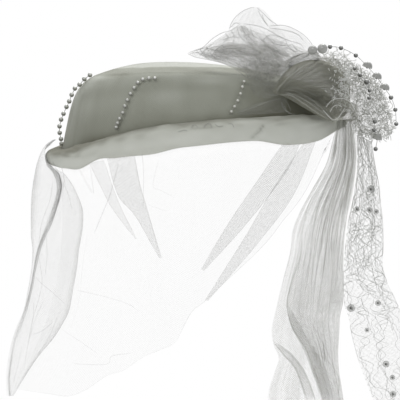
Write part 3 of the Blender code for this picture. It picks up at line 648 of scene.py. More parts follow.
# The knot's painted shadow on the crown.
knot_shade = step(over, 285, 293) * (1 - step(over, 312, 320)) * step(down - (95 + (over - 284) * 0.5), -3, 3)
crown_tone -= fore * 0.62 * knot_shade
crown_tone = np.clip(crown_tone, TONE_LEAST, TONE_MOST)
crown_tone[-1] = crown_tone[0]
print(f"crown's tone: {crown_tone.min():.2f} to {crown_tone.max():.2f}")

# %% [markdown]
# The surface becomes a closed bowl when the ends of its grid are merged. Solidify then gives the wall its two
# millimetres, inwards. The faces have to point outwards first, so they are turned if they don't.

# %% The crown's cloth and wall
SETTLE = 0.0003  # the cloth's middle lies this far inside the drawn surface
crown_cloth = cloth("crown_cloth", [(crown_skin + crown_out * (gathers - SETTLE)[..., None], crown_tone)],
                    CROWN, ["crown"], closed=True)


def walled(obj, thick, offset):
    """A wall for an open surface, by Solidify."""
    solid = obj.modifiers.new("wall", "SOLIDIFY")
    solid.thickness = thick
    solid.offset = offset
    return obj


def facing_out(obj, middle):
    """Turns the faces of a surface so that they point away from a middle point."""
    bm = bmesh.new()
    bm.from_mesh(obj.data)
    bmesh.ops.recalc_face_normals(bm, faces=bm.faces)
    turned = sum(face.normal.dot(face.calc_center_median() - Vector(middle)) * face.calc_area()
                 for face in bm.faces)
    if turned < 0:
        bmesh.ops.reverse_faces(bm, faces=bm.faces)
    bm.to_mesh(obj.data)
    bm.free()
    return obj


walled(facing_out(crown_cloth, (0, 0, 0)), WALL, -1)

# %% [markdown]
# The brim is a soft cuff that comes out of the crown's base and turns down all round. It could be one cross
# section swept round the oval, but the real one is wide at the left and narrows to a point at the right end,
# so its width and its drop come from a table by angle, and a cross section of that size is drawn at each
# degree.

# %% The brim's shape
# Each row is an angle, how far the brim comes out and how far it turns down.
BRIM_EDGE = [
    (0, 0.0047, 0.0030), (14, 0.0052, 0.0044), (28, 0.0066, 0.0080), (45, 0.0080, 0.0120),
    (90, 0.0090, 0.0130), (135, 0.0100, 0.0120), (180, 0.0105, 0.0086), (198, 0.0105, 0.0104),
    (211, 0.0105, 0.0138), (220, 0.0105, 0.0162), (230, 0.0104, 0.0128), (238, 0.0102, 0.0152),
    (252, 0.0100, 0.0170), (262, 0.0097, 0.0150), (270, 0.0095, 0.0147), (290, 0.0092, 0.0138),
    (303, 0.0090, 0.0178), (318, 0.0085, 0.0163), (333, 0.0074, 0.0088), (347, 0.0056, 0.0046)]


def brim_edge(angle):
    """How far the brim comes out and turns down at an angle."""
    return round_value(BRIM_EDGE, angle, 1), round_value(BRIM_EDGE, angle, 2)


def brim_line(angle, places):
    """The brim's closed cross section: out over the top, down, and back up the inside."""
    out, down = brim_edge(angle)
    profile = [(SEAT + 0.0001, -0.0008), (0.0024, -0.0011), (0.55 * out, 0.0000), (0.84 * out, 0.17 * down),
               (1.00 * out, 0.45 * down), (1.02 * out, 0.85 * down), (0.96 * out, 1.00 * down),
               (0.96 * out - WALL * 0.8, 0.97 * down), (1.00 * out - WALL, 0.50 * down),
               (0.62 * out - WALL * 0.4, 0.0024), (SEAT + 0.0003, 0.0012), (SEAT + 0.0001, -0.0008)]
    return [base_point(angle, o, d) for o, d in spline(profile, places)]


brim_angles = np.linspace(0, 360, 361)
brim_places = np.linspace(0, 1, 56)
brim_skin = np.array([brim_line(a, brim_places) for a in brim_angles])
print("brim's grid:", brim_skin.shape[:2])

# %% [markdown]
# The brim's cloth is slightly gathered all round, which is noise again. One sharp wrinkle and three slight
# ones are drawn as lines in the picture. The surface sinks along each of them, by how near a point is seen to
# the line.

# %% The brim's wrinkles
# Each wrinkle is its line, its half width in dots and its depth in metres.
BRIM_WRINKLES = [
    ([(264, 126), (261, 130), (257, 134), (252, 139)], 1.1, 0.0016),
    ([(287, 143), (289, 145.5), (293, 149)], 1.0, 0.0007),
    ([(62, 149), (70, 147.5), (78, 150), (72, 153)], 1.2, 0.0006),
    ([(300, 128), (312, 127), (326, 124)], 1.6, 0.0006)]


def off_line(dots, line):
    """How many dots each point is from a drawn line."""
    line = by_length(line, np.linspace(0, 1, 60))
    return np.sqrt(((dots[..., None, :] - line) ** 2).sum(axis=-1).min(axis=-1))


turn, place = np.meshgrid(brim_angles, brim_places, indexing="ij")
outside = np.clip(np.minimum((place - 0.02) / 0.10, (0.60 - place) / 0.06), 0, 1)
folds = lumps(turn, place, 3.1, 0.5, 7) * 0.00040 + lumps(turn, place, 8.0, 0.35, 8) * 0.0007 - SETTLE
dots = seen(brim_skin)
front = in_front(brim_skin)
for line, wide, deep in BRIM_WRINKLES:
    folds -= deep * np.exp(-(off_line(dots, line) / wide) ** 2) * front
folds[-1] = folds[0]
brim_out = unit(np.cross(np.gradient(brim_skin, axis=0), np.gradient(brim_skin, axis=1)))
brim_out[-1] = brim_out[0]
if (brim_out[180, 14] * (brim_skin[180, 14] - brim_skin[180, 40])).sum() < 0:
    brim_out = -brim_out
brim_skin += brim_out * (folds * outside)[..., None]
print(f"deepest wrinkle: {-folds.min() * 1000:.1f} mm")

# %% [markdown]
# The brim's tone is drawn as the crown's was: painted shade in the seam, painted light towards the lower edge,
# slow random lumps, and soft patches and a few lines of painted shade and light beside the wrinkles.

# %% The brim's tone
# Each patch is right, down, half width and half height in dots, and the change: painted light above 0, painted
# shade below.
BRIM_PATCHES = [
    (67, 148.6, 9, 1.5, -0.75), (70, 146.6, 7, 0.8, 0.30), (72, 163, 12, 3, 0.20), (125, 149, 24, 4, 0.16),
    (185, 140, 30, 4, 0.12), (140, 138, 40, 5, -0.14), (322, 127, 16, 9, 0.50), (342, 125, 7, 8, 0.75),
    (175, 147, 24, 2.5, -0.14), (147, 139, 16, 3, -0.10), (70, 157, 12, 2, -0.12)]
# Each line of painted tone is its dots, its half width and the change: light above 0, shade below.
BRIM_LINES = [
    ([(263, 126), (261, 130), (257, 134), (252, 139)], 1.0, -0.45),
    ([(265, 127), (262, 132), (257, 137)], 0.9, 0.25),
    ([(60, 154), (72, 157), (86, 156), (97, 152)], 1.6, -0.20),
    ([(180, 131), (200, 128), (225, 126)], 1.2, -0.14),
    ([(262, 128), (276, 123), (292, 120)], 1.2, 0.16),
    ([(287, 143), (289, 145.5), (293, 149)], 1.0, -0.3),
    ([(312, 118.5), (330, 121.5), (343, 123)], 1.6, -0.30),
    ([(143, 152), (146, 149), (152, 148)], 1.2, -0.15)]
SEAM_PLACE = 5  # the row of the brim's grid that lies in the seam
over, down = dots[..., 0], dots[..., 1]
drop = down - down[:, SEAM_PLACE:SEAM_PLACE + 1]
# Painted shade in the seam and on the front, and painted light towards the lower edge.
brim_tone = (1.22 - 0.42 * np.exp(-(np.maximum(drop, 0) / 4.0) ** 2)
             - front * (0.30 - 0.47 * step(drop, 3, 17)))
brim_tone += lumps(turn, place, 12.0, 0.12, 13) * 0.22
brim_tone += lumps(turn, place, 4.0, 0.06, 14) * 0.16
# Painted shade towards the left end, and near the seam on the left.
brim_tone -= front * 0.42 * np.exp(-(np.maximum(over - 62, 0) / 42) ** 2) * (1 - step(down, 153, 163))
brim_tone -= front * 0.20 * (1 - step(over, 100, 190)) * (1 - step(drop, 4, 12))
for x, y, wide, tall, change in BRIM_PATCHES:
    brim_tone += front * change * soft_patch(over, down, x, y, wide, tall)
for line, wide, change in BRIM_LINES:
    brim_tone += front * change * np.exp(-(off_line(dots, line) / wide) ** 2)
brim_tone = np.clip(brim_tone, TONE_LEAST, TONE_MOST)
brim_tone[-1] = brim_tone[0]
brim_cloth = cloth("brim_cloth", [(brim_skin, brim_tone)], BRIM, ["brim"], closed=True)
facing_out(brim_cloth, (0, 0, 0))

# %% [markdown]
# The face veil hangs from under the brim as a curtain that stands clear of the wearer. Each column of its
# grid starts under the brim and ends on the hem as it is seen. Long soft ripples and a few pinched creases
# keep it from looking like glass, and a rolled edge follows the hem.

# %% The face veil's shape
VEIL_TOP_ANGLES = (200, 336)
VEIL_LOW = [
    (16, 389), (30, 391), (51, 394), (69, 396), (87, 389), (106, 376), (124, 370), (143, 357), (160, 350),
    (176, 342), (191, 313), (204, 302), (224, 283), (240, 268), (255, 254), (270, 238), (282, 222),
    (296, 205), (306, 190), (317, 168), (324, 151)]
VEIL_WALL = 0.0010


def veil_depth(right, down, grow=0.0):
    """Depth of the curtain that stands round the face, wider lower down."""
    x = (right - 200) * PER_DOT
    t = min(max((down - 150) / 240, 0), 1)
    rx, ry = 0.108 + 0.030 * t + grow, 0.0950 + 0.008 * t + grow
    return -ry * math.sqrt(max(1 - (x / rx) ** 2, 0.0))


def veil_column(u, rows):
    """One column of the curtain: from under the brim, past its edge, and down to the hem."""
    angle = VEIL_TOP_ANGLES[0] + (VEIL_TOP_ANGLES[1] - VEIL_TOP_ANGLES[0]) * u
    out, down = brim_edge(angle)
    tuck = 0.95 * out - WALL - SEAT - VEIL_WALL / 2 - 0.0005
    top, low = base_point(angle, tuck, 0.60 * down), base_point(angle, tuck, down + 0.0015)
    low_dot, end_dot = seen(low), by_length(VEIL_LOW, [u])[0]
    miss = low[1] - veil_depth(*low_dot)
    column = [top, low]
    for t in np.linspace(0, 1, rows - 1)[1:]:
        bend = 20 * math.sin(math.pi * t) * max(0, 1 - u / 0.35)
        dot = low_dot + (end_dot - low_dot) * t + np.array([bend, 0])
        column.append(at(*dot, veil_depth(*dot) + miss * (1 - t) ** 2))
    return column


veil_flat = np.array([veil_column(u, 110) for u in np.linspace(0, 1, 170)]).transpose(1, 0, 2)
down_share, across_share = np.meshgrid(np.linspace(0, 1, 110), np.linspace(0, 1, 170), indexing="ij")
ripple = lumps(across_share, down_share, 0.040, 0.55, 11) * 0.0022
ripple += lumps(across_share, down_share, 0.014, 0.35, 12) * 0.0007
ripple *= np.clip(down_share / 0.25, 0, 1)
veil_out = ways_out(veil_flat, np.array([0.0, 0.05, -0.08]))
veil_points = veil_flat + veil_out * ripple[..., None]
print("veil's grid:", veil_points.shape[:2])

# %% [markdown]
# Where sheer cloth is creased, two or three layers lie together and read as a thin line. Each crease that the
# photograph shows is a pinched strip on the veil, and the rolled hem is two more.

# %% The face veil's creases
# Each crease is its line, its width in dots and how much cloth lies in it.
VEIL_CREASES = [
    ([(75, 290), (102, 296), (128, 304), (139, 312)], 1.1, 2.6),
    ([(61, 329), (84, 344), (99, 355)], 1.0, 2.0),
    ([(71, 362), (79, 364), (107, 364), (112, 356), (133, 353)], 1.0, 3.2),
    ([(119, 162), (110, 195), (103, 212), (94, 234)], 1.1, 5.0),
    ([(142, 152), (143.5, 172), (143, 212)], 1.0, 4.2),
    ([(134, 155), (140, 185), (147, 208), (160, 257)], 1.0, 3.2),
    ([(88, 232), (83, 262), (79, 300), (70, 330)], 1.0, 0.7),
    ([(79, 169), (86, 182), (93, 194)], 2.4, 1.8),
    ([(90, 166), (92, 180), (94, 195)], 1.0, 3.0),
    ([(150, 290), (153, 320), (147, 352)], 1.0, 0.4),
    ([(159, 158), (153, 185), (160, 190), (174, 197)], 1.0, 1.6),
    ([(148, 205), (166, 211)], 1.0, 1.4)]
veil_skin = Skin(veil_points)
veil_strips = [pinch(veil_skin, line, wide, strength=strong) for line, wide, strong in VEIL_CREASES]
veil_strips.append(pinch(veil_skin, VEIL_LOW[:10], 0.9, strength=1.8, count=120))
veil_strips.append(pinch(veil_skin, VEIL_LOW[9:], 0.9, strength=3.4, count=120))
face_veil = cloth("face_veil_tulle", [(veil_points, None)] + veil_strips, VEIL, ["face_veil"])

# %% [markdown]
# Four darts are folded into the veil and stand before it. In each the cloth doubles back on itself, so two
# more layers lie over the veil, and the fold's edges read as thin lines.

# %% The veil's folded darts
BACK_LAYER, FRONT_LAYER = 0.0008, 0.0015  # how far each layer of a dart stands before the veil
# Each dart is how much cloth lies in it, its left edge and its right edge.
VEIL_FOLDS = {
    "veil_fold_right_upper": (1.15, [(283, 143), (258, 180), (230, 221), (201, 269)],
                              [(301, 142), (285, 174), (248, 222), (204, 271)]),
    "veil_fold_right_lower": (1.1, [(304, 142), (270, 194), (245, 237), (205, 300)],
                              [(316, 141), (294, 194), (258, 243), (208, 301)]),
    "veil_fold_left_outer": (0.7, [(89, 163), (100, 185), (112, 208), (135, 239)],
                             [(104, 160), (112, 185), (122, 210), (137, 239)]),
    "veil_fold_left_inner": (1.05, [(107, 158), (118, 195), (136, 217), (159, 258)],
                             [(134, 151), (140, 185), (147, 210), (162, 258)]),
}


def folded(name, strength, left, right):
    """A tapering fold: the cloth goes to the left edge and comes back, a little further forward."""
    steps = np.linspace(0, 1, 70)
    left, right = spline(left, steps), spline(right, steps)
    across = np.linspace(0, 1, 14)
    rows = []
    for a, b in zip(left, right):
        back = [veil_skin.over(*(b + (a - b) * w), BACK_LAYER) for w in across]
        fore = [veil_skin.over(*(a + (b - a) * w), FRONT_LAYER) for w in across]
        rows.append(back + fore)
    grid = np.array(rows)
    grid[:, :, 1] = softened(grid, 3)[:, :, 1]
    skin = Skin(grid)
    edges = [pinch(skin, side, 0.9, 0.0004, 1.6) for side in (left[::6], right[::6])]
    return cloth(name + "_tulle", [(grid, strength)] + edges, DART, [name])


for name, drawn in VEIL_FOLDS.items():
    dart = folded(name, *drawn)

# %% [markdown]
# The side veil falls from the brim's left end. Most of it is gathered into a rope, and what is left makes a
# wide lobe before the rope and a narrow one behind it. Each lobe is the cloth going out to a fold and coming
# back.

# %% The side veil's shape
# Each row is a height, then the left edge, the rope's middle, the right edge and half the rope's width.
SIDE_ROWS = [
    (139.5, 53, 55, 56.5, 1.0), (144, 46.5, 49.5, 52, 1.6), (151, 41.5, 48.0, 51.5, 2.2),
    (160, 38, 50.5, 55.0, 3.0), (167, 36, 53.5, 59.0, 3.2), (175, 34.5, 57, 65.5, 3.0),
    (184, 33, 59.5, 72, 2.6), (194, 31.8, 58.5, 77, 2.2), (209, 31, 54.5, 82.5, 2.0),
    (224, 31, 49.5, 83, 1.9), (236, 31, 44, 81.5, 1.8), (250, 32.5, 39, 79, 1.7), (268, 31.5, 35, 77, 1.6),
    (290, 28, 31, 73, 1.5), (311, 23.5, 25.5, 69, 1.5), (325, 17.5, 20, 62, 1.5),
    (339, 12.5, 14.5, 53, 1.5), (357, 8.5, 11, 38, 1.5), (378, 6, 8.5, 24, 1.5), (396, 6.5, 9.5, 13.5, 1.3)]
ROPE_PLEATS = 2.5
SIDE_TOP_BACK = 0.036
SIDE_FROM = 151


def beside_brim(p, gap):
    """The point, moved straight out if it is nearer than gap to the brim's outer side."""
    angle = math.degrees(math.atan2(p[1] / CROWN_RY, (p[0] - CROWN_MID_X) / CROWN_RX))
    out, down = brim_edge(angle)
    rim = base_point(angle, 1.03 * out + gap)
    low = base_point(angle)[2] - down - gap
    above_low = min(max((p[2] - low + 0.0035) / 0.0035, 0), 1)
    below_top = min(max((low + down + 0.0045 - p[2]) / 0.0040, 0), 1)
    share = above_low * below_top
    grow = 1 + max(np.hypot(*rim[:2]) / np.hypot(*p[:2]) - 1, 0) * share
    return np.array([p[0] * grow, p[1] * grow, p[2]])


def side_cross(row, t):
    """One cross section of the fall: back lobe out and home, the rope's pleats, front lobe out and home."""
    down, left, rope, right, half = row
    fall = max((down - SIDE_FROM) / (SIDE_ROWS[-1][0] - SIDE_FROM), 0)
    back = SIDE_TOP_BACK * max(1 - fall / 0.25, 0) ** 2
    lines = []
    for w in np.linspace(0, 1, 12):
        lines.append((rope + (left - rope) * w, 0.0004))
    for w in np.linspace(1, 0, 12):
        lines.append((rope + (left - rope) * w, -0.0008))
    for k in range(30):
        w = k / 29
        sway = math.sin(2 * math.pi * (ROPE_PLEATS * w + 0.6 * math.sin(5 * t)))
        sway *= 1 - 0.85 * step(down, 262, 320)
        place = rope - half + 2 * half * (w + 0.30 * sway / ROPE_PLEATS)
        lines.append((place, 0.0014 * math.cos(2 * math.pi * ROPE_PLEATS * w) - 0.0002))
    for w in np.linspace(0, 1, 26):
        lines.append((rope + (right - rope) * w, -0.0006))
    for w in np.linspace(1, 0, 26):
        lines.append((rope + (right - rope) * w, 0.0006))
    out = []
    for x, off in lines:
        front = veil_depth(min(x + 4, 200), down, 0.0055)
        lobe_back = 0.022 * max(0, (rope - x) / 12) * (1 - fall) * min(fall / 0.1, 1)
        out.append(beside_brim(at(x, down, front + lobe_back + back + off), SEAT + 0.0006))
    return out


side_places = np.linspace(0, 1, 130) ** 1.3
side_points = np.array([side_cross(row, t) for row, t in zip(by_length(SIDE_ROWS, side_places), side_places)])
u, v = np.meshgrid(np.linspace(0, 1, side_points.shape[1]), side_places)
crumple = lumps(u, v, 0.05, 0.25, 21) * 0.0010 + lumps(u, v, 0.02, 0.12, 22) * 0.0004
side_points[..., 1] += crumple * np.clip(v / 0.12, 0, 1)
print("side veil's grid:", side_points.shape[:2])

# %% [markdown]
# The fall's edges, its crossing crease and the broken folds of its rope are pinched strips, as on the face
# veil. The rope thins out towards its foot, so there is less cloth in it there.

# %% The side veil's creases
BACK_AND_ROPE, ROPE_ALONE = slice(None, 54), slice(24, 54)  # columns of the grid
SIDE_STRENGTH = 0.65
side_rows = np.array(SIDE_ROWS)
SIDE_CREASES = [
    (side_rows[:, [1, 0]], 0.9, 1.3), (side_rows[4:, [3, 0]], 0.9, 1.3),
    ([(49, 152), (53, 163), (60, 178), (56, 200), (48, 220), (42, 240), (36, 257), (34, 275)], 1.6, 4.0),
    ([(57, 160), (62, 169), (64, 182), (60, 199), (51, 221)], 1.1, 5.0),
    ([(62, 180), (68, 194), (72, 210)], 1.0, 4.0), ([(53, 178), (50, 200), (42, 222), (39, 244)], 1.0, 3.4),
    ([(37, 250), (40, 264), (42, 282), (39, 298), (32, 322), (27, 350), (24, 372)], 0.9, 3.0),
    ([(46, 234), (47, 255), (45, 277)], 0.9, 3.4), ([(34, 275), (42, 284), (52, 292), (65, 304)], 0.9, 3.8),
    ([(53, 322), (42, 331), (31, 335)], 0.9, 3.0), ([(60, 310), (50, 335), (36, 358), (20, 384)], 1.6, 2.4),
    ([(45, 298), (35, 320), (28, 345)], 0.9, 2.6), ([(34, 300), (33, 318), (29, 340)], 1.0, 3.0),
    ([(31, 292), (26, 312), (20, 330), (14, 341)], 1.0, 3.6), ([(22, 345), (18, 365), (13, 385)], 1.0, 1.6)]
side_skin = Skin(side_points)
side_gather = gather_of(side_points)
side_downs = by_length(SIDE_ROWS, side_places)[:, :1]
side_gather[:, BACK_AND_ROPE] *= 1 - 0.72 * step(side_downs, 285, 350)
side_gather[:, ROPE_ALONE] *= 1 + 0.7 * (1 - step(side_downs, 190, 230))
side_strips = [pinch(side_skin, line, wide, strength=strong * SIDE_STRENGTH, count=60, reach=2.0)
               for line, wide, strong in SIDE_CREASES]
side_veil = cloth("side_veil_tulle", [(side_points, side_gather)] + side_strips, FALL,
                  ["side_veil"])

# %% [markdown]
# The bow is tulle in loops: each loop goes out behind, turns at its outer end and comes back before. A loop
# could be draped by simulation, but its edges have to lie where they are seen, so they are drawn, and the
# cloth between them is pleated and crumpled by formula. Where it would sink into the crown, it is lifted onto
# it.

# %% The bow's left loop
LOOP_HALF_ROOT = 0.0029  # half of a loop's thickness where it leaves the knot
crown_points = crown_skin.reshape(-1, 3)
CROWN_HIGHEST = 0.0515


def crown_top(x, y):
    """Height of the crown over a place, or a low value beside the crown."""
    far = np.hypot(crown_points[:, 0] - x, crown_points[:, 1] - y)
    near = np.argpartition(far, 4)[:4]
    return float(crown_points[near, 2].max()) if far[near].min() < 0.004 else -1.0


def loop_sheet(upper, lower, root, near, far, seed, steps=46, across=42, crumple=0.0011, fold=0.35,
               shrink=0.12):
    """A loop of cloth. upper and lower are its edges from the knot out, near and far its layers' depths."""
    places = np.linspace(0, 1, steps)
    upper, lower = by_length(upper, places), by_length(lower, places)
    grid = []
    for k in list(range(steps)) + list(range(steps - 2, -1, -1)):
        side = 1 if len(grid) < steps - 1 else -1
        turn = places[k]
        ease = math.sin(math.pi / 2 * min(turn / 0.5, 1))
        spread = math.sqrt(max(1 - turn ** 4, 0))
        middle = root + ((near + far) / 2 - root) * ease
        half = (LOOP_HALF_ROOT + ((far - near) / 2 - LOOP_HALF_ROOT) * ease) * spread
        row = []
        for w in np.linspace(0, 1, across):
            inset = shrink * (1 - turn) if side > 0 else 0.0
            pleats = fold * math.sin(2 * math.pi * (6.5 * w + 0.5 * turn + seed * 0.37)) / 6.5
            wide = inset + (1 - 2 * inset) * (w + pleats * (1 - turn * 0.5) * math.sin(math.pi * w))
            dot = upper[k] + (lower[k] - upper[k]) * wide
            wave = 0.0014 * math.sin(2 * math.pi * (1.5 * w + 0.35 * turn + seed * 0.21)) * spread * ease
            row.append(at(*dot, middle + side * half + wave))
        grid.append(row)
    grid = np.array(grid)
    u, v = np.meshgrid(np.linspace(0, 1, across), np.linspace(0, 1, len(grid)))
    rough = np.abs(lumps(u, v, 0.10, 0.16, seed)) * 2 - 0.8 + lumps(u, v, 0.05, 0.05, seed + 50) * 0.45
    calm = np.clip(np.minimum(v, 1 - v) / 0.06, 0.15, 1)
    grid[..., 1] += rough * crumple * calm
    grid[..., 0] += lumps(u, v, 0.12, 0.07, seed + 80) * crumple * 0.5 * calm
    for p in grid.reshape(-1, 3):
        if p[2] < CROWN_HIGHEST:
            p[2] = max(p[2], crown_top(p[0], p[1]) + 0.0012)
    return grid


def edged(points, lines, strength=2.0, wide=0.9):
    """A grid with rolled edges along drawn lines."""
    skin = Skin(points)
    rolled = [pinch(skin, line, wide, 0.0005, strength, 50, 2.5) for line in lines]
    return [(points, np.minimum(gather_of(points), 1.5))] + rolled


LEFT_UPPER = [(285, 50), (266, 33), (246, 25), (226, 34), (205, 46), (188, 52)]
LEFT_LOWER = [(279, 84), (264, 81), (247, 75), (230, 66), (210, 60), (189, 55)]
left_grid = loop_sheet(LEFT_UPPER, LEFT_LOWER, -0.0620, -0.0785, -0.0605, 31, crumple=0.0016)
left_edges = [
    [(305, 50), (300, 44), (290, 41), (280, 37), (270, 31), (258, 26), (240, 23.5)],
    [(240, 24), (232, 30), (222, 33), (212, 39), (202, 48), (190, 52)],
    [(187, 53), (195, 57), (210, 60), (225, 64), (238, 71), (246, 77), (256, 79), (268, 76)],
    [(194, 50.5), (205, 48), (214, 50), (226, 53)],
    [(225, 33), (228, 38), (223, 43)],
    [(240, 24), (245, 33), (252, 40), (256, 46)],
    [(237, 26), (240, 36), (248, 44)],
    [(262, 41), (270, 35), (284, 38)],
    [(276, 51), (286, 48), (297, 52)],
    [(283, 63), (294, 57), (305, 53)],
    [(285, 38), (288, 46), (296, 53)],
    [(232, 52), (248, 55), (262, 53)],
    [(228, 58), (244, 62), (258, 61)],
    [(190, 53), (200, 53), (214, 57), (226, 62)],
    [(196, 51), (204, 56), (218, 58)],
    [(200, 48), (203, 54), (210, 60)],
    [(206, 46), (210, 53), (218, 61)],
    [(200, 56), (206, 49), (214, 43)],
    [(210, 59), (216, 50), (224, 44)],
    [(230, 30), (234, 36), (233, 44)],
    [(222, 40), (232, 37), (240, 38)],
    [(250, 28), (254, 36), (266, 42)],
    [(268, 38), (276, 44), (288, 46)],
    [(262, 44), (274, 50), (290, 58)],
    [(292, 44), (297, 50), (303, 52)]]
left_loop = cloth("bow_loop_left_tulle", edged(left_grid, left_edges, 13.0, 0.8), SHEER,
                  ["bow_loop_left"])

# %% [markdown]
# The real bow has many layers inside its loop, which make it dense and uneven. They are crumpled patches,
# each between two drawn edges and at its own depth. Short random streaks of more cloth stand for the creases
# in them.

# %% The bow's inner layers
def patch(upper, lower, depth, seed, crumple=0.0014, columns=50, rows=60, dense=1.0):
    """One crumpled layer of the bow, between two drawn edges."""
    upper, lower = by_length(upper, np.linspace(0, 1, columns)), by_length(lower, np.linspace(0, 1, columns))
    grid = []
    for w in np.linspace(0, 1, rows):
        place = w + 0.10 * math.sin(2 * math.pi * 4.5 * w + seed) / 4.5
        grid.append([at(*(a + (b - a) * place), depth) for a, b in zip(upper, lower)])
    grid = np.array(grid)
    u, v = np.meshgrid(np.linspace(0, 1, columns), np.linspace(0, 1, rows))
    rough = np.abs(lumps(u, v, 0.14, 0.12, seed)) * 2 - 0.8 + lumps(u, v, 0.06, 0.06, seed + 50) * 0.5
    grid[..., 1] += rough * crumple
    grid[..., 2] += lumps(u, v, 0.10, 0.10, seed + 60) * crumple * 0.6
    for p in grid.reshape(-1, 3):
        if p[2] < CROWN_HIGHEST:
            p[2] = max(p[2], crown_top(p[0], p[1]) + 0.0008)
    rng = np.random.default_rng(seed)
    gather = 0.95 + 0.30 * lumps(u, v, 0.16, 0.16, seed + 7) + 0.25 * lumps(u, v, 0.05, 0.05, seed + 8)
    for _ in range(9):
        a, b = rng.uniform(0.1, 0.9), rng.uniform(0.1, 0.9)
        turned, bend = rng.uniform(0, math.pi), rng.uniform(-1.5, 1.5)
        along = (u - a) * math.cos(turned) + (v - b) * math.sin(turned)
        aside = (v - b) * math.cos(turned) - (u - a) * math.sin(turned) + bend * along ** 2
        gather += 0.9 * np.exp(-(aside / 0.020) ** 2 - (along / 0.20) ** 2) * rng.uniform(0.5, 1)
        grid[..., 1] -= 0.0008 * np.exp(-(aside / 0.05) ** 2 - (along / 0.25) ** 2)
    return grid, np.clip(gather, 0.3, 3) * np.clip(np.minimum(u, 1 - u) / 0.06, 0.25, 1) * dense


body = [patch([(197, 51), (206, 46.5), (222, 36), (240, 26), (262, 33), (285, 42), (302, 50)],
              [(198, 55), (208, 59), (230, 66), (247, 76), (264, 79), (282, 76), (300, 62)], -0.0665, 101,
              dense=0.75),
        patch([(200, 51), (214, 46), (228, 41), (244, 43), (262, 40), (278, 47), (294, 58)],
              [(203, 57), (216, 61), (231, 66), (247, 76), (262, 79), (280, 77), (298, 64)], -0.0650, 102),
        patch([(200, 52), (210, 53), (222, 55), (236, 57)],
              [(204, 57.5), (216, 61), (228, 65), (242, 71)], -0.0670, 114, dense=0.8),
        patch([(207, 50), (220, 44), (234, 43), (250, 44), (266, 43), (278, 52), (292, 60)],
              [(210, 57), (222, 60), (236, 66), (250, 75), (264, 79), (280, 78), (296, 66)], -0.0680, 103),
        patch([(213, 49), (226, 44), (240, 46), (254, 45), (268, 46), (280, 56), (292, 63)],
              [(215, 54), (228, 57), (242, 60), (254, 68), (266, 76), (280, 78), (294, 68)], -0.0640, 104),
        patch([(217, 50), (230, 45), (244, 47), (258, 47), (270, 50), (282, 60), (290, 65)],
              [(219, 54), (234, 56), (250, 62), (262, 72), (270, 78), (282, 77), (292, 70)], -0.0695, 105),
        patch([(238, 26), (241, 31), (245, 38), (250, 46)],
              [(244, 25), (249, 30), (254, 36), (258, 45)], -0.0655, 106),
        patch([(284, 64), (291, 57), (302, 52), (313, 50), (321, 55)],
              [(288, 69), (299, 66), (311, 62), (322, 61)], -0.0690, 107, dense=1.2),
        patch([(286, 62), (295, 56), (305, 53), (314, 52), (321, 56)],
              [(289, 70), (300, 67), (312, 63), (322, 62)], -0.0675, 110, dense=1.1),
        patch([(258, 36), (274, 39), (290, 43), (305, 49)],
              [(266, 52), (280, 58), (293, 61), (305, 57)], -0.0645, 115, dense=0.8),
        patch([(284, 64), (292, 57), (303, 52), (313, 50), (320, 54)],
              [(287, 69), (298, 66), (310, 61), (321, 60)], -0.0660, 111, dense=1.2),
        patch([(240, 60), (254, 58), (268, 60), (280, 64)],
              [(247, 77), (258, 80), (270, 79), (284, 72)], -0.0730, 112, 0.0007),
        patch([(232, 60), (248, 63), (262, 60), (276, 62)],
              [(246, 76), (256, 79), (268, 79), (281, 75)], -0.0715, 113),
        patch([(252, 66), (262, 62), (276, 60), (292, 60)],
              [(254, 80), (266, 88), (276, 92), (284, 92)], -0.0765, 108, 0.0007),
        patch([(248, 72), (260, 68), (274, 64), (288, 62)],
              [(246, 84), (256, 96), (268, 99), (280, 95)], -0.0785, 109, 0.0007)]
bow_core = cloth("bow_core_tulle", body, BOW)

# %% [markdown]
# Two sheer loops stand over the knot. They are made as the left loop was, but they are hardly crumpled, and
# all that is seen of them is their rolled edges and a few creases.

# %% The bow's top and right loops
TOP_UPPER = [(264, 60), (240, 42), (230, 27), (238, 15), (250, 8)]
TOP_LOWER = [(294, 56), (288, 40), (276, 24), (266, 12), (259, 7)]
top_grid = loop_sheet(TOP_UPPER, TOP_LOWER, -0.0545, -0.0560, -0.0430, 36, crumple=0.0006)
top_loop = cloth("bow_loop_top_tulle", edged(top_grid, [
    [(229, 31), (231, 24), (236, 16.5), (243, 11), (250, 8), (256, 7)],
    [(256, 7), (263, 13), (270, 20), (278, 25.5)],
    [(258, 10), (262, 18), (268, 26)], [(230, 28), (235, 23), (240, 24)], [(262, 14), (264, 20), (268, 26)]],
    12.0, 0.8), SHEER, ["bow_loop_top"])
RIGHT_UPPER = [(262, 44), (270, 26), (284, 25), (300, 33), (312, 45)]
RIGHT_LOWER = [(296, 64), (302, 62), (308, 58), (312, 54), (314, 50)]
right_grid = loop_sheet(RIGHT_UPPER, RIGHT_LOWER, -0.0408, -0.0372, -0.0230, 37, crumple=0.0006)
right_loop = cloth("bow_loop_right_tulle", edged(right_grid, [
    [(268, 26), (284, 25.5), (296, 30), (306, 37), (313, 46), (314, 51)],
    [(269, 28), (284, 30), (297, 34), (304, 41)]],
    12.0, 0.8), SHEER, ["bow_loop_right"])

# %% [markdown]
# The knot is a length of gathered tulle, twisted once as it comes round. A bundle of pleats is a tube whose
# radius swells and shrinks many times round its section, and the swells turn as they go along it.

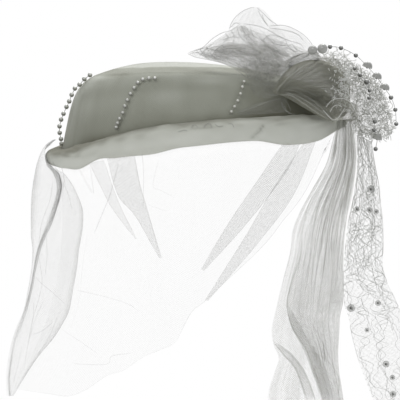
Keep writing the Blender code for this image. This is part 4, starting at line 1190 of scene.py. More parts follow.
# %% The knot and its strap
# Each row is right and down in dots, depth in mm, half the height in dots and half the depth in mm.
KNOT_LINE = [
    (274, 93, -77.8, 2.5, 2.5), (281, 88, -77.8, 6, 4.5), (292, 82, -73.8, 12, 8.0),
    (306, 78.5, -68, 17, 11.0), (320, 80, -60, 19, 13.0), (332, 88, -56, 18, 13.0),
    (338, 99, -53.5, 13, 10.0), (340, 109, -53, 8, 7.0), (338, 116, -53.5, 4, 4.0)]
STRAP_LINE = [
    (280, 93, -78.5, 1.5, 1.5), (290, 95.5, -77.5, 3, 2.5), (303, 102, -75.5, 4, 3.0),
    (315, 109, -72, 4, 3.0), (325, 115.5, -66.5, 3.5, 2.5), (333, 120, -61, 2, 1.5)]


def bundle(line, count, sides, turns, folds, deep, pleats, seed):
    """A gathered bundle of cloth along a line of such rows."""
    rows = by_length(line, np.linspace(0, 1, count))
    centres = np.array([at(r[0], r[1], r[2] / 1000) for r in rows])
    ways = unit(np.gradient(centres, axis=0))
    grid = []
    for k, (row, p, way) in enumerate(zip(rows, centres, ways)):
        side = unit(np.cross(way, np.array([0, 1.0, 0])))
        front = np.cross(side, way)
        t = k / (count - 1)
        ring = []
        for a in np.linspace(0, 2 * math.pi, sides + 1):
            swell = 1 + deep * math.cos(folds * a + turns * 2 * math.pi * t)
            crease = abs(math.sin(pleats / 2 * a + turns * 3 * math.pi * t + 0.6 * math.sin(3 * a + seed)))
            fine = abs(math.sin(pleats * 1.3 * a + 9 * t + seed))
            swell *= 1 - 0.055 * (1 - crease) ** 2 - 0.02 * (1 - fine)
            ring.append(p + swell * (side * math.cos(a) * row[3] * PER_DOT
                                     + front * math.sin(a) * row[4] / 1000))
        grid.append(ring)
    grid = np.array(grid)
    grid[:, -1] = grid[:, 0]
    return grid


knot_grid = bundle(KNOT_LINE, 90, 150, 0.8, 4, 0.07, 13, 1)
knot = cloth("knot_tulle", [(knot_grid, None)], KNOT, ["knot"], closed=True)
strap_grid = bundle(STRAP_LINE, 60, 60, 0.3, 2, 0.12, 9, 2)
strap = cloth("knot_strap_tulle", [(strap_grid, None)], KNOT, ["knot_strap"], closed=True)

# %% [markdown]
# Over the bundle lie three fans of gathered cloth, which leave the twist at the left and spread to the right:
# an arch over the top, a cheek in the middle and a band below it. Two crumpled patches fill the places beside
# them.

# %% The knot's swathes
knot_skin = Skin(np.concatenate([knot_grid.reshape(-1, 3), strap_grid.reshape(-1, 3)]))


def swathe(start, rim, pleats, deep, seed, lift=0.0010, columns=110, rows=44):
    """A fan of gathered cloth, from a short edge at the twist to a long rim, laid over the knot."""
    start, rim = by_length(start, np.linspace(0, 1, columns)), by_length(rim, np.linspace(0, 1, columns))
    grid = []
    for w in np.linspace(0, 1, rows):
        row = []
        for k, (a, b) in enumerate(zip(start, rim)):
            u = k / (columns - 1)
            phase = 2 * math.pi * pleats * u + seed
            side = (b - a)[::-1] * np.array([-1, 1]) / (np.hypot(*(b - a)) + 1e-9)
            dot = a + (b - a) * w + side * 0.9 * w * math.sin(phase) * math.sin(math.pi * u)
            base = knot_skin.over(*dot, lift)
            base[1] -= deep * (0.4 + 0.6 * w) * (1 + math.cos(phase)) / 2 + 0.0012 * math.sin(math.pi * w)
            row.append(base)
        grid.append(row)
    grid = np.array(grid)
    grid[..., 1] = softened(grid, 2)[..., 1]
    return grid


arch = swathe([(278, 96), (277, 92), (279, 89), (282, 87)],
              [(285, 80), (291, 72), (301, 65), (313, 61), (326, 61.5), (336, 66), (341, 76), (343, 88)], 9,
              0.0016, 1)
cheek = swathe([(281, 91), (282, 93), (283, 94)],
               [(336, 74), (341, 85), (341, 98), (337, 107), (330, 112)], 7, 0.0014, 2, 0.0018)
band = swathe([(280, 91), (281, 93), (282, 95)],
              [(336, 112), (335, 116), (334, 119.5), (331, 121)], 4, 0.0012, 3, 0.0022)
base_patch = patch([(336, 104), (344, 101), (352, 102), (358, 107)],
                   [(338, 120), (345, 121), (352, 121), (358, 118)], -0.0560, 131, 0.0008, dense=3.0)
side_patch = patch([(311, 61), (322, 57.5), (333, 57.5), (341, 62)],
                   [(326, 82), (334, 87), (342, 86), (348, 78)], -0.0560, 132, 0.0008, dense=1.7)
fans = [arch, cheek, band]
wrap = cloth("knot_swathe_tulle", [(grid, None) for grid in fans] + [base_patch, side_patch], SWATHE)

# %% [markdown]
# Where the knot's cloth turns over an edge, pale strips laid along it are painted highlights. These edges, and
# those of the flap beside the knot, are one piece of pinched strips.

# %% The pale edges
# Each edge is its line, its width in dots and how much cloth lies in it, which sets how strongly its painted
# highlight reads.
KNOT_EDGES = [
    ([(277, 96), (277, 91), (281, 85), (289, 77), (298, 70), (305, 65), (316, 62)], 1.2, 1.0),
    ([(282, 91), (285, 86), (292, 79), (301, 71), (312, 66)], 0.9, 0.8),
    ([(279, 95), (291, 95.5), (303, 103), (317, 112.5), (330, 120)], 1.1, 1.5),
    ([(283, 92), (296, 95.5), (308, 102), (322, 112), (332, 119.5)], 0.9, 1.1),
    ([(284, 89), (298, 92), (312, 100), (326, 112)], 0.9, 0.8),
    ([(285, 87.5), (300, 89), (318, 97), (331, 108)], 0.9, 0.7),
    ([(300, 87), (318, 85), (334, 88)], 1.0, 0.5),
    ([(296, 80), (312, 74), (330, 74)], 1.0, 0.5),
    ([(325, 112), (330, 117.5), (334, 120), (338, 117), (344, 109)], 1.2, 1.6),
    ([(328, 106), (334, 100), (343, 98.5), (350, 103), (354, 110)], 1.2, 1.6)]
FLAP_EDGES = [
    ([(237, 113), (250, 108.5), (266, 102.5), (283, 98)], 1.0, 0.9),
    ([(283, 98), (288, 104), (291, 112)], 1.3, 0.9),
    ([(281, 100), (283, 107), (289, 113), (297, 114.5)], 1.6, 0.9),
    ([(284, 104), (286, 110), (292, 114)], 1.4, 0.8)]
wrap_skin = Skin(np.concatenate([grid.reshape(-1, 3) for grid in fans] + [strap_grid.reshape(-1, 3)]))
crown_front = Skin(crown_skin[crown_skin[..., 1] < -0.02])
edge_strips = [pinch(crown_front, line, wide, 0.0012, strong, 50, 2.0) for line, wide, strong in FLAP_EDGES]
edge_strips += [pinch(wrap_skin, line, wide, 0.0016, strong, 60, 2.5) for line, wide, strong in KNOT_EDGES]
wrap_edges = cloth("knot_edge_highlights_tulle", edge_strips, HIGHLIGHT_EDGE)

# %% [markdown]
# A small pointed loop of tulle stands below the knot, where the streamers leave it.

# %% The knot's pointed loop
tail_upper = [(352, 110), (349, 101), (341, 97), (333, 99), (327, 106)]
tail_lower = [(345, 108), (343, 112), (338, 118), (334, 120), (329, 114)]
tail = patch(tail_upper, tail_lower, -0.0705, 121, 0.0006, 30, 24)[0]
tail_lines = [tail_upper, [(326, 111), (331, 117), (335, 120), (339, 117), (344, 108)],
              [(329, 110), (334, 116), (338, 113), (341, 106)]]
tail_loop = cloth("knot_tail_tulle", edged(tail, tail_lines, 3.0, 1.0), SWATHE)

# %% [markdown]
# A small pointed flap of tulle lies on the crown beside the knot. Each of its points is moved in along the
# line of sight until it just clears the crown's skin, which the garlands' pearls need too.

# %% The flap
crown_ways = crown_out.reshape(-1, 3)


def on_crown(right, down, gap):
    """The point over a picture dot that stands this far off the crown's skin, on the viewer's side."""
    depths = np.arange(-0.100, 0.010, 0.001)
    ray = np.array([at(right, down, depth) for depth in depths])
    far = ((crown_points[None, ::5] - ray[:, None]) ** 2).sum(axis=2).min(axis=1)
    depth = depths[int(np.argmin(far))]
    for _ in range(6):
        p = at(right, down, depth)
        near = int(np.argmin(((crown_points - p) ** 2).sum(axis=1)))
        off = float(np.dot(p - crown_points[near], crown_ways[near]))
        if crown_ways[near, 1] > -0.25:
            return p + crown_ways[near] * max(gap - off, 0)
        depth += (gap - off) / crown_ways[near, 1]
    return at(right, down, depth)


flap_steps = np.linspace(0, 1, 40)
flap_top = spline([(237, 113), (252, 106), (268, 101), (284, 97)], flap_steps)
flap_low = spline([(238, 114), (254, 114), (270, 113), (288, 112)], flap_steps)
flap_across = np.linspace(0, 1, 12)
flap_grid = np.array([[on_crown(*(a + (b - a) * w),
                                0.0009 + 0.0004 * math.sin(9 * w + 6 * t)) for w in flap_across]
                      for a, b, t in zip(flap_top, flap_low, flap_steps)])
flap = cloth("tulle_flap", [(flap_grid, 1.0)] + edged(flap_grid, [flap_top[::5], flap_low[::5]])[1:],
             BOW, ["tulle_flap"])

# %% [markdown]
# The streamers hang from the knot. A length of cloth gathered at its top falls in deep pleats, so each
# sheet's columns run out and back across the picture as they cross, and the layers overlap in streaks.

# %% The tulle streamer's sheets
TULLE_LEFT = [
    (336, 120.2), (334, 135), (327, 163), (312, 190), (301, 210), (293, 230), (290, 255), (283, 281),
    (277, 306), (272, 329), (274, 345), (279, 358), (275, 372), (269, 390), (267, 410)]
TULLE_RIGHT = [(351, 119), (354, 135), (356, 158), (353, 182), (349, 204), (346, 225), (344, 245), (343, 272),
               (343, 301), (340, 316), (339, 335), (338, 352), (339, 372), (342, 390), (345, 410)]
TULLE_CORE = [
    (337, 120.5), (335, 135), (330, 163), (320, 184), (309, 204), (301, 230), (297, 255), (291, 281),
    (287, 306), (292, 329), (305, 349), (313, 372), (320, 390), (324, 410)]


def streamer(left, right, depth, pleats, deep, across, down, slope, seed, lap):
    """A hanging length of pleated cloth between two drawn edges. A higher lap makes its pleats overlap."""
    left, right = by_length(left, np.linspace(0, 1, down)), by_length(right, np.linspace(0, 1, down))
    steps = np.linspace(0, 1, across)
    grid = []
    for k, v in enumerate(np.linspace(0, 1, down)):
        sway = 0.18 * math.sin(4 * v + seed) + 0.10 * math.sin(9 * v + 2 * seed)
        phase = 2 * math.pi * (pleats * steps + sway + 0.35 * np.sin(5 * steps + seed))
        place = steps + lap * np.sin(phase) / (2 * math.pi * pleats) * np.sin(math.pi * steps) ** 0.5
        wave = deep * (0.35 + 0.65 * v) * np.cos(phase)
        across_row = right[k] - left[k]
        grid.append([at(*(left[k] + across_row * p), depth + slope * v + w) for p, w in zip(place, wave)])
    grid = np.array(grid)
    u, v = np.meshgrid(steps, np.linspace(0, 1, down))
    grid[..., 1] += lumps(u, v, 0.05, 0.12, seed) * 0.0008
    grid[..., 0] += lumps(u, v, 0.03, 0.10, seed + 5) * 0.0005
    return grid


def thickening(grid, top, low, foot):
    """Gather that grows towards the knot, where the cloth is drawn together."""
    u, v = np.meshgrid(np.linspace(0, 1, grid.shape[1]), np.linspace(0, 1, grid.shape[0]))
    fine = lumps(u, v, 0.012, 0.30, int(top * 100)) * (1 - 0.9 * np.clip((v - 0.25) / 0.3, 0, 1))
    low = low + (foot - low) * step(v, 0.35, 0.65)
    streaks = np.clip(1 + 1.3 * fine + 0.4 * lumps(u, v, 0.07, 0.5, int(top * 90)), 0.2, 2.6)
    return gather_of(grid, 10, 2.5) * (low + (top - low) * (1 - v) ** 7) * streaks


TULLE_DEPTH, TULLE_STEP = -0.0550, 0.0012
# Each sheet is followed by how much more cloth lies at its top, in its middle and at its foot.
sheets = [
    (streamer(TULLE_LEFT, TULLE_RIGHT, TULLE_DEPTH, 4.0, 0.0026, 190, 150, 0.004, 41, 0.7),
     2.6, 1.9, 2.1),
    (streamer(TULLE_CORE, TULLE_RIGHT, TULLE_DEPTH - TULLE_STEP, 9.0, 0.0016, 190, 150, 0.004, 42, 1.1),
     2.5, 0.55, 1.15),
    (streamer(TULLE_CORE, TULLE_RIGHT, TULLE_DEPTH + TULLE_STEP, 14.0, 0.0012, 190, 150, 0.004, 43, 1.0),
     2.4, 0.45, 1.0)]
print("streamer's sheets:", len(sheets))

# %% [markdown]
# The streamer's folds are of two kinds. Thin ones are pinched strips along drawn lines, with random ones
# among them near the knot, where the cloth is drawn together. Broad ones are doubled bands with thin edges.

# %% The tulle streamer's folds
STRIP_OFF = 0.0034  # how far the drawn strips stand before the first sheet
RANDOM_OFF = 0.0036
stream_skin = Skin(sheets[0][0])


def flat_fold(skin, left, right, off, strength, count=80):
    """A broad fold: a doubled band of cloth between two drawn edges, with its own thin edges."""
    steps = np.linspace(0, 1, count)
    left, right = by_length(left, steps), by_length(right, steps)
    across = np.linspace(0, 1, 10)
    grid = np.array([[skin.over(*(a + (b - a) * w), off + 0.0012 * math.sin(math.pi * w), 2.0)
                      for w in across] for a, b in zip(left, right)])
    grid[:, :, 1] = softened(grid, 4)[:, :, 1]
    fade = np.minimum(1, np.sin(np.linspace(0, math.pi, count)) * 2.5 + 0.05)[:, None]
    return grid, strength * fade * np.ones(10)[None]


STREAM_LINES = [
    (TULLE_LEFT, 0.9, 1.4), (TULLE_RIGHT, 0.9, 1.2),
    ([(303, 235), (300, 258), (291, 284), (287, 306), (293, 329), (306, 349), (316, 375), (325, 402)], 1.1,
     5.0),
    ([(309, 318), (320, 338), (331, 360), (336, 378), (339, 402)], 1.0, 2.6),
    ([(273, 342), (284, 355), (296, 369), (308, 402)], 1.0, 5.0),
    ([(280, 346), (294, 358), (306, 376), (316, 402)], 1.0, 3.6),
    ([(306, 350), (324, 358), (335, 370), (339, 380), (338, 396)], 1.1, 4.2),
    ([(326, 165), (316, 187), (305, 214), (297, 240)], 1.0, 1.8),
    ([(334, 160), (326, 186), (313, 214), (306, 236)], 1.0, 1.6),
    ([(338, 150), (332, 182), (320, 212), (310, 240)], 0.9, 1.4),
    ([(345, 124), (346, 160), (341, 200), (330, 240)], 1.0, 1.2),
    ([(318, 290), (317, 320), (320, 345)], 1.0, 1.2), ([(297, 250), (290, 276), (284, 300)], 1.0, 1.0)]
stream_strips = [pinch(stream_skin, line, wide, STRIP_OFF, strong, 80, 2.0)
                 for line, wide, strong in STREAM_LINES]
rng = np.random.default_rng(47)
for number in range(34):
    side, start, end = rng.uniform(0.02, 0.98), rng.uniform(0, 0.20), rng.uniform(0.35, 0.62)
    places = np.linspace(start, end, 14)
    left, right = by_length(TULLE_CORE, places), by_length(TULLE_RIGHT, places)
    line = left + (right - left) * (side + 0.05 * np.sin(places * 9 + number))[:, None]
    stream_strips.append(pinch(stream_skin, line, rng.uniform(0.6, 1.0), RANDOM_OFF, rng.uniform(1.5, 4.5),
                               70, 2.0))
for number, side in enumerate((0.16, 0.40, 0.58, 0.83)):
    left, right = (by_length(TULLE_CORE, np.linspace(0.4, 1, 16)),
                   by_length(TULLE_RIGHT, np.linspace(0.4, 1, 16)))
    line = left + (right - left) * (side + 0.06 * np.sin(np.linspace(0, 4, 16) + number))[:, None]
    stream_strips.append(pinch(stream_skin, line, 1.0, RANDOM_OFF, 1.8, 70, 2.0))
stream_strips += [
    flat_fold(stream_skin, [(287.5, 304), (291, 325), (303, 349), (313, 375), (322, 402)],
              [(288.5, 304), (300, 325), (314, 349), (327, 372), (334, 402)], 0.0026, 3.2),
    flat_fold(stream_skin, [(272, 340), (284, 356), (296, 372), (306, 402)],
              [(273, 340), (292, 354), (306, 373), (317, 402)], 0.0026, 2.8),
    flat_fold(stream_skin, [(330, 235), (332, 262), (331, 290), (328, 312)],
              [(342, 235), (343, 262), (343, 290), (340, 312)], 0.0030, 1.3),
    flat_fold(stream_skin, [(345, 121), (347, 150), (344, 185), (336, 215)],
              [(355, 121), (357, 150), (354, 185), (348, 215)], 0.0030, 2.6)]
stream_grids = [(grid, thickening(grid, *amounts)) for grid, *amounts in sheets]
tulle_streamer = cloth("tulle_streamer_layers", stream_grids + stream_strips, STREAM,
                       ["tulle_streamer"])

# %% [markdown]
# The net streamer is coarse, crinkled net. The cloth itself is two crumpled sheets with an open net in their
# material, and its heaviest threads are modelled: wavy lines that touch their neighbours in turn, as a net's
# do.

# %% The net streamer's cloth
NET_DEPTH = -0.0305
NET_LEFT = [(357, 135), (358, 163), (355, 185), (352, 204), (348, 225), (346, 242), (344, 272), (344, 301),
            (349, 320), (353, 339), (359, 362), (368, 386), (378, 410)]
NET_RIGHT = [(371, 141.5), (375, 166), (379, 185), (381, 204), (382, 220), (383, 237), (383, 265), (387, 281),
             (393, 294), (400, 312), (405, 335), (410, 370), (414, 410)]
net_sheets = [streamer(NET_LEFT, NET_RIGHT, NET_DEPTH + off, pleats, 0.0022, 90, 170, 0.006, seed, 0.7)
              for off, pleats, seed in ((-0.0006, 3.5, 51), (0.0008, 2.5, 52))]
net_cloth = cloth("net_streamer_net", [(grid, None) for grid in net_sheets], NET,
                  ["net_streamer"])

# %% [markdown]
# A net's threads swing from side to side, and neighbours swing opposite ways, so they meet and part. Each
# thread is a wavy line over the cloth's grid. A curve with a round bevel turns all the lines of a piece into
# one mesh.

# %% The net streamer's threads
def strings(lines, thick):
    """A mesh of round threads along lines of points."""
    curve = bpy.data.curves.new("lines", "CURVE")
    curve.dimensions = "3D"
    curve.bevel_depth = thick
    curve.bevel_resolution = 1
    curve.use_fill_caps = True
    for line in lines:
        path = curve.splines.new("POLY")
        path.points.add(len(line) - 1)
        for point, place in zip(path.points, line):
            point.co = (*place, 1)
    holder = bpy.data.objects.new("lines", curve)
    scene.collection.objects.link(holder)
    bpy.context.view_layer.update()
    mesh = bpy.data.meshes.new_from_object(holder.evaluated_get(bpy.context.evaluated_depsgraph_get()))
    bpy.data.objects.remove(holder)
    bm = bmesh.new()
    bm.from_mesh(mesh)
    bpy.data.meshes.remove(mesh)
    bpy.data.curves.remove(curve)
    return bm


def net_threads(grid, count, waves, swing, seed, part=1.0):
    """Wavy threads over part of a grid of cloth: neighbours swing opposite ways, so they meet and part."""
    rng = np.random.default_rng(seed)
    rows, columns = grid.shape[:2]
    lines = []
    for k in range(count):
        middle = (k + 0.5 + rng.uniform(-0.3, 0.3)) / count
        steps = np.linspace(0, 1 if part == 1 else part * rng.uniform(0.75, 1.35), 170)
        speed = waves * steps + 0.9 * lumps(steps, steps * 0, 0.06, 1.0, seed + 3)
        wobble = swing / count * np.sin(2 * math.pi * speed + math.pi * k + rng.uniform(-0.5, 0.5))
        slow = lumps(steps, steps * 0, 0.05, 1.0, seed + k) * 1.7 / count
        quick = lumps(steps, steps * 0, 0.014, 1.0, seed + k + 70) * 0.35 / count
        wobble += slow + quick
        place = np.clip(middle + wobble, 0, 1) * (columns - 1)
        line = []
        for s, c in zip(steps * (rows - 1), place):
            i, j = min(int(s), rows - 2), min(int(c), columns - 2)
            a, b = s - i, c - j
            left = grid[i, j] * (1 - a) + grid[i + 1, j] * a
            right = grid[i, j + 1] * (1 - a) + grid[i + 1, j + 1] * a
            line.append(left * (1 - b) + right * b)
        lines.append(line)
    return lines


thread_lines = (net_threads(net_sheets[0], 10, 9, 0.66, 55)
                + net_threads(net_sheets[1], 10, 11, 0.66, 56, 0.60))
piece("net_streamer_threads", strings(thread_lines, 0.000095), NET_THREAD)
# Paler threads over the net streamer are painted highlights.
pale_lines = (net_threads(net_sheets[0], 7, 9, 0.8, 57, 0.55)
              + net_threads(net_sheets[1], 9, 12, 0.8, 58, 0.40))
piece("net_streamer_highlight_threads", strings(pale_lines, 0.00012), HIGHLIGHT_THREAD)

# %% [markdown]
# The pouf is the same net, crumpled into a pouch behind the knot. Three crumpled sheets, one inside another,
# carry its mass. Their gather falls to almost nothing in places, which leaves holes between the crumples.

# %% The net pouf's cloth
POUF_MIDDLE = (348, 102)
POUF_DEPTH, POUF_SWELL = -0.0308, 0.0120
POUF_EDGE = [
    (318, 62), (326, 54), (338, 53), (351, 59), (363, 69), (373, 79), (382, 91), (389, 104), (393, 118),
    (394, 131), (387, 138), (376, 140), (364, 137), (354, 131)]


def pouf_sheet(size, swell, seed):
    """A crumpled pouch: round its edge, and from its back over the rim to its front."""
    edge = by_length(POUF_EDGE, np.linspace(0, 1, 70))
    parts = np.linspace(-1, 1, 46)
    grid = []
    for k, dot in enumerate(edge):
        row = []
        for part in parts:
            r = math.cos(part * math.pi / 2 * 0.92)
            x = POUF_MIDDLE[0] + (dot[0] - POUF_MIDDLE[0]) * r * size
            y = POUF_MIDDLE[1] + (dot[1] - POUF_MIDDLE[1]) * r * size
            row.append(at(x, y, POUF_DEPTH + swell * math.sin(part * math.pi / 2)))
        grid.append(row)
    grid = np.array(grid)
    u, v = np.meshgrid(np.linspace(0, 1, 46), np.linspace(0, 1, 70))
    for axis in range(3):
        large = lumps(u, v, 0.11, 0.08, seed + axis) * 0.0016
        grid[..., axis] += large + lumps(u, v, 0.05, 0.04, seed + 7 + axis) * 0.0009
    return grid


def holed(grid, seed):
    """Gather that leaves holes between the crumples of a coarse net."""
    u, v = np.meshgrid(np.linspace(0, 1, grid.shape[1]), np.linspace(0, 1, grid.shape[0]))
    return np.clip(0.55 + 1.1 * lumps(u, v, 0.045, 0.032, seed) + 0.7 * lumps(u, v, 0.12, 0.09, seed + 1),
                   0.03, 3.0)


pouf_grids = [pouf_sheet(0.97, POUF_SWELL, 61), pouf_sheet(0.86, POUF_SWELL * 0.75, 71),
              pouf_sheet(0.72, POUF_SWELL * 0.5, 81)]
pouf = cloth("net_pouf_net", [(grid, holed(grid, 95 + k)) for k, grid in enumerate(pouf_grids)], POUF,
             ["net_pouf"])

# %% [markdown]
# A crumpled net is read by the short bright and dark arcs of its threads. Several hundred small curled
# threads in a pale colour of painted highlight stand off the pouf's sheets, and more lie in a grid over the
# knot's lower right, where net hangs over the tulle. Darker arcs are painted shade. Their places are random,
# with fixed seeds.

# %% The net's painted highlights and shade
def arcs(grid, count, long, seed):
    """Short curled threads that stand off a crumpled sheet."""
    rng = np.random.default_rng(seed)
    lines = []
    rows, columns = grid.shape[:2]
    for _ in range(count):
        i, j = rng.integers(2, rows - 2), rng.integers(6, columns - 2)
        start = grid[i, j]
        way, lift = unit(rng.normal(size=3)), unit(rng.normal(size=3))
        size = long * rng.uniform(0.5, 1.2)
        steps = np.linspace(0, 1, 8)
        lines.append([start + way * size * t + lift * size * 0.45 * math.sin(math.pi * t) for t in steps])
    return lines


piece("net_pouf_highlight_threads", strings(arcs(pouf_grids[0], 560, 0.0045, 91), 0.00020), HIGHLIGHT_THREAD)
knot_front = Skin(np.concatenate([grid.reshape(-1, 3) for grid in fans]))
rng = np.random.default_rng(93)
speck_grid = np.array([[knot_front.over(x, y, 0.0016, 2.0) for x in np.linspace(322, 350, 30)]
                       for y in np.linspace(64, 112, 30)])
specks = []
for _ in range(230):
    i = int(np.clip(rng.normal(15, 8), 1, 28))
    j = int(np.clip(29 - abs(rng.normal(0, 9)), 2, 29))
    way = unit(np.array([rng.normal(), 0.2, rng.normal()]))
    specks.append([speck_grid[i, j] + way * 0.0016 * t + np.array([0, -0.0006 * math.sin(math.pi * t), 0])
                   for t in np.linspace(0, 1, 6)])
# Pale loops of thread over the knot are painted highlights too.
KNOT_LOOPS = [
    [(323, 110), (328, 115.5), (333, 119.8), (338, 118), (342, 112.5), (345, 108)],
    [(326, 107), (331, 101), (337, 98.6), (344, 98.8), (350, 102), (354, 108), (357, 114)],
    [(330, 112), (333, 107), (338, 105), (342, 107)]]
loops = [[at(x, y, -0.0795) for x, y in spline(line, np.linspace(0, 1, 40))] for line in KNOT_LOOPS]
piece("net_on_knot_highlight_threads", strings(specks + loops, 0.00022), HIGHLIGHT_THREAD)
# Darker arcs in the sewing thread's colour are painted shade on the pouf.
piece("net_pouf_shaded_threads", strings(arcs(pouf_grids[1], 190, 0.0060, 92), 0.00014), THREAD)

# %% [markdown]
# A few tack stitches of the same thread hold the cloth at the front of the brim.

# %% The brim's stitches
STITCHES = [
    [(191, 128), (194, 124.5), (198, 127)],
    [(204, 127.5), (206, 124), (210, 124), (212, 128)],
    [(215, 124), (218, 126.5), (223, 126)],
    [(228, 123.5), (232, 124), (234, 127.5)],
    [(178, 132), (184, 130), (187, 131)]]
brim_front = Skin(brim_skin[brim_skin[..., 1] < -0.005])
stitch_lines = [[brim_front.over(x, y, 0.0004, 1.5) for x, y in spline(line, np.linspace(0, 1, 14))]
                for line in STITCHES]
piece("brim_stitches", strings(stitch_lines, 0.00018), THREAD)

# %% [markdown]
# Pearls are spheres on a thread. The garlands lie on the crown, so each bead's centre is put where it just
# clears the crown's skin. Each vertex of a ball gets its painted highlight from the way it faces: most
# towards the front, the back and up.

# %% Pearls and garlands
PEARL_R = 0.00150
STRING_R = 0.00022
GARLANDS = {
    "pearl_garland_left": [(91.7, 77.9), (86.3, 81.1), (81.1, 85.6), (77, 89.7), (72.7, 95.3), (69.4, 101.4),
                           (66.5, 106.9), (63.5, 113.7), (61.1, 119.6), (59.5, 126.3), (59.7, 132.8),
                           (61.1, 139), (63.2, 144)],
    "pearl_garland_middle": [(116.0, 127.6), (117.4, 123.4), (119.4, 119.0), (122.5, 113), (124.7, 106.4),
                             (127.2, 100.3), (130.3, 94), (133.9, 88.2), (137.6, 83), (142.5, 79.8),
                             (148.6, 78.7), (154.6, 78.5)],
    "pearl_garland_right": [(243.8, 81.8), (242.2, 87.3), (240.3, 94), (237.5, 101), (234.4, 106.9),
                            (231.2, 112.0)],
}


def add_ball(bm, centre, radius, mat=0, fine=14):
    """A sphere with the strength of its painted highlight at each vertex."""
    if not bm.verts.layers.float.get("lustre"):
        bm.verts.layers.float.new("lustre")
    made = bmesh.ops.create_uvsphere(bm, u_segments=fine, v_segments=fine - 4, radius=radius,
                                     matrix=Matrix.Translation(Vector(centre)))
    layer = bm.verts.layers.float.get("lustre")
    for vert in made["verts"]:
        way = (vert.co - Vector(centre)) / radius
        vert[layer] = min(max((0.22 * way.x + 0.80 * abs(way.y) + 0.56 * way.z - 0.62) / 0.30, 0), 1)
    for face in {face for vert in made["verts"] for face in vert.link_faces}:
        face.material_index = mat


for name, dots in GARLANDS.items():
    centres = [on_crown(x, y, PEARL_R + SEAT + 0.0001) for x, y in dots]
    bm = strings([centres], STRING_R)
    small = {"left": 1.10, "middle": 0.93, "right": 0.86}[name.split("_")[-1]]
    for centre in centres:
        add_ball(bm, centre, PEARL_R * small, 1)
    piece(name + "_beads", bm, [THREAD, PEARL_PAINTED_LIGHTER if name.endswith("right") else PEARL], [name])

# %% [markdown]
# The sprays are clear line with grey beads and domed sequins. They arch over the pouf and down beside it. A
# sequin is a short profile, spun round the line that it is threaded on, so it has an inside and a rim.

# %% Sprays
LINE_R = 0.00020
# Each spray is the depth of its first and last bead, then each bead's place in dots, radius in mm and kind.
SPRAYS = {
    "spray_outer": (-0.078, -0.036, [(312.6, 50.0, 3.2, "cup"), (322.4, 48.6, 3.4, "cup"),
                                     (330, 46.8, 1.5, "bead"), (341, 48.0, 1.5, "bead"),
                                     (355.8, 55.4, 1.5, "bead"), (367.3, 66.5, 3.5, "cup"),
                                     (376.8, 77.2, 3.4, "cup"), (384.6, 88.2, 3.4, "cup"),
                                     (391.0, 97.5, 1.6, "bead"), (395.3, 109.7, 1.5, "bead"),
                                     (396.2, 123.9, 1.5, "bead")]),
    "spray_inner": (-0.0448, -0.0440, [(354.5, 68.5, 1.3, "bead"), (360.0, 75.0, 1.5, "bead"),
                                       (366.6, 82.0, 1.9, "bead"), (369.5, 90.5, 1.3, "bead"),
                                       (369.0, 98.0, 1.3, "bead")]),
    "spray_lower": (-0.0422, -0.0414, [(374.7, 121.5, 1.5, "bead"), (374.0, 130.2, 1.4, "bead"),
                                       (377.2, 138.2, 3.4, "cup"), (375.6, 149, 1.5, "bead")]),
}
CUPS_TURN = 0.095  # beyond this place the sequins are seen from the side
FACING, EDGE_ON = np.array([0.10, 0.95, -0.20]), np.array([-0.30, 0.20, -0.93])


def add_cup(bm, centre, way, radius, mat):
    """A domed sequin: a short profile spun round the line it is threaded on."""
    profile = [(-0.95, 0.10), (-0.88, 0.42), (-0.66, 0.72), (-0.30, 0.93), (0.08, 1.0), (0.12, 0.97),
               (-0.26, 0.86), (-0.58, 0.66), (-0.78, 0.38), (-0.85, 0.10)]
    way = Vector(way).normalized()
    side = way.orthogonal().normalized()
    verts = [bm.verts.new(Vector(centre) + way * (a * radius) + side * (r * radius)) for a, r in profile]
    edges = [bm.edges.new(pair) for pair in zip(verts, verts[1:])]
    bmesh.ops.spin(bm, geom=verts + edges, cent=Vector(centre), axis=way, angle=2 * math.pi, steps=18,
                   use_merge=True, use_duplicate=False)
    faces = {face for vert in bm.verts if vert.is_valid and (vert.co - Vector(centre)).length < radius * 1.15
             for face in vert.link_faces}
    for face in faces:
        face.material_index = mat
    bmesh.ops.recalc_face_normals(bm, faces=list(faces))


for name, (first, last, rows) in SPRAYS.items():
    share = np.linspace(0, 1, len(rows))
    spots = np.array([at(x, y, first + (last - first) * t) for t, (x, y, _, _) in zip(share, rows)])
    ways = unit(np.gradient(spots, axis=0))
    path = list(spots) if name != "spray_outer" else [at(304.5, 58.5, -0.0770)] + list(spots)
    bm = strings([by_length(path, np.linspace(0, 1, 60))], LINE_R)
    for spot, way, (_, _, r, kind) in zip(spots, ways, rows):
        if kind == "cup":
            axis = FACING if spot[0] < CUPS_TURN else EDGE_ON
            add_cup(bm, spot, axis, r / 1000, 2)
            add_ball(bm, spot + unit(axis) * 0.0004, 0.0010, 1, 10)
        else:
            add_ball(bm, spot, r / 1000, 1)
    piece(name + "_beads", bm, [CLEAR, GREY_BEAD, CUP], [name])

# %% [markdown]
# Single pearls are sewn to the net, each in a small domed sequin. Their solids are placed already, so each
# pearl takes its place and its size from its solid's box.

# %% Pearls on the net
for number in range(1, 11):
    name = f"net_pearl_{number:02d}"
    low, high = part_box(name)
    middle, radius = (low + high) / 2, (high.x - low.x) / 2
    bm = bmesh.new()
    add_cup(bm, middle, (-0.15, -1.0, -0.1), radius * 1.15, 1)
    add_ball(bm, middle - Vector((0, radius * 0.15, 0)), radius * 0.46, 0)
    piece(name + "_bead", bm, [GREY_BEAD, NET_CUP], [name])

# %% [markdown]
# The photograph has a white ground and light from above and behind, so the hat reads darker than its ground.
# The camera sees a white world, while the light that falls on the cloth is a softer one.

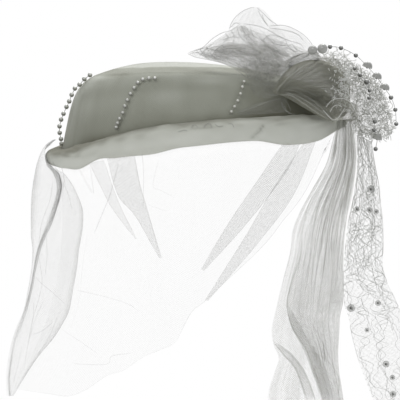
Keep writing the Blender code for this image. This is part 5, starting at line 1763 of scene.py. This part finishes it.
# %% The world
world = bpy.data.worlds.new("studio")
scene.world = world
world.use_nodes = True
tree = world.node_tree
tree.nodes.clear()
seen_white = tree.nodes.new("ShaderNodeBackground")
seen_white.inputs["Color"].default_value = (1, 1, 1, 1)
seen_white.inputs["Strength"].default_value = 1.0
soft = tree.nodes.new("ShaderNodeBackground")
soft.inputs["Color"].default_value = (0.97, 0.985, 1.0, 1)
soft.inputs["Strength"].default_value = 0.50
path = tree.nodes.new("ShaderNodeLightPath")
both = tree.nodes.new("ShaderNodeMixShader")
end = tree.nodes.new("ShaderNodeOutputWorld")
tree.links.new(path.outputs["Is Camera Ray"], both.inputs[0])
tree.links.new(soft.outputs[0], both.inputs[1])
tree.links.new(seen_white.outputs[0], both.inputs[2])
tree.links.new(both.outputs[0], end.inputs[0])
print("world nodes:", len(tree.nodes))

# %% [markdown]
# Two large lamps shape the cloth: one above and behind, and a weaker one at the front left. The floor is
# plain and pale, and so far below the hat that it only throws back a little light.

# %% Lamps and floor
FLOOR_SIZE, FLOOR_DEPTH = 4.0, -1.5


def lamp(name, place, target, size, power):
    """A square lamp that shines from a place to a target."""
    light = bpy.data.lights.new(name, "AREA")
    light.shape = "SQUARE"
    light.size = size
    light.energy = power
    obj = bpy.data.objects.new(name, light)
    obj.location = place
    obj.rotation_euler = (Vector(target) - Vector(place)).to_track_quat("-Z", "Y").to_euler()
    obj.visible_camera = False
    scene.collection.objects.link(obj)


lamp("above_behind", (0.15, 0.75, 1.15), (0, 0, 0), 1.0, 16)
lamp("front_left", (-0.9, -1.3, 0.8), (0, 0, -0.05), 0.6, 3.0)

bm = bmesh.new()
bmesh.ops.create_grid(bm, x_segments=4, y_segments=4, size=FLOOR_SIZE)
bmesh.ops.translate(bm, verts=bm.verts, vec=(0, 0, FLOOR_DEPTH))
mesh = bpy.data.meshes.new("floor")
bm.to_mesh(mesh)
bm.free()
floor = bpy.data.objects.new("floor", mesh)
scene.collection.objects.link(floor)
floor_finish = Finish("floor_pale", {"Base Color": (0.93, 0.93, 0.92, 1), "Roughness": 0.9})
mesh.materials.append(floor_finish.mat)

scene.view_settings.view_transform = "Standard"
scene.cycles.transparent_max_bounces = 64
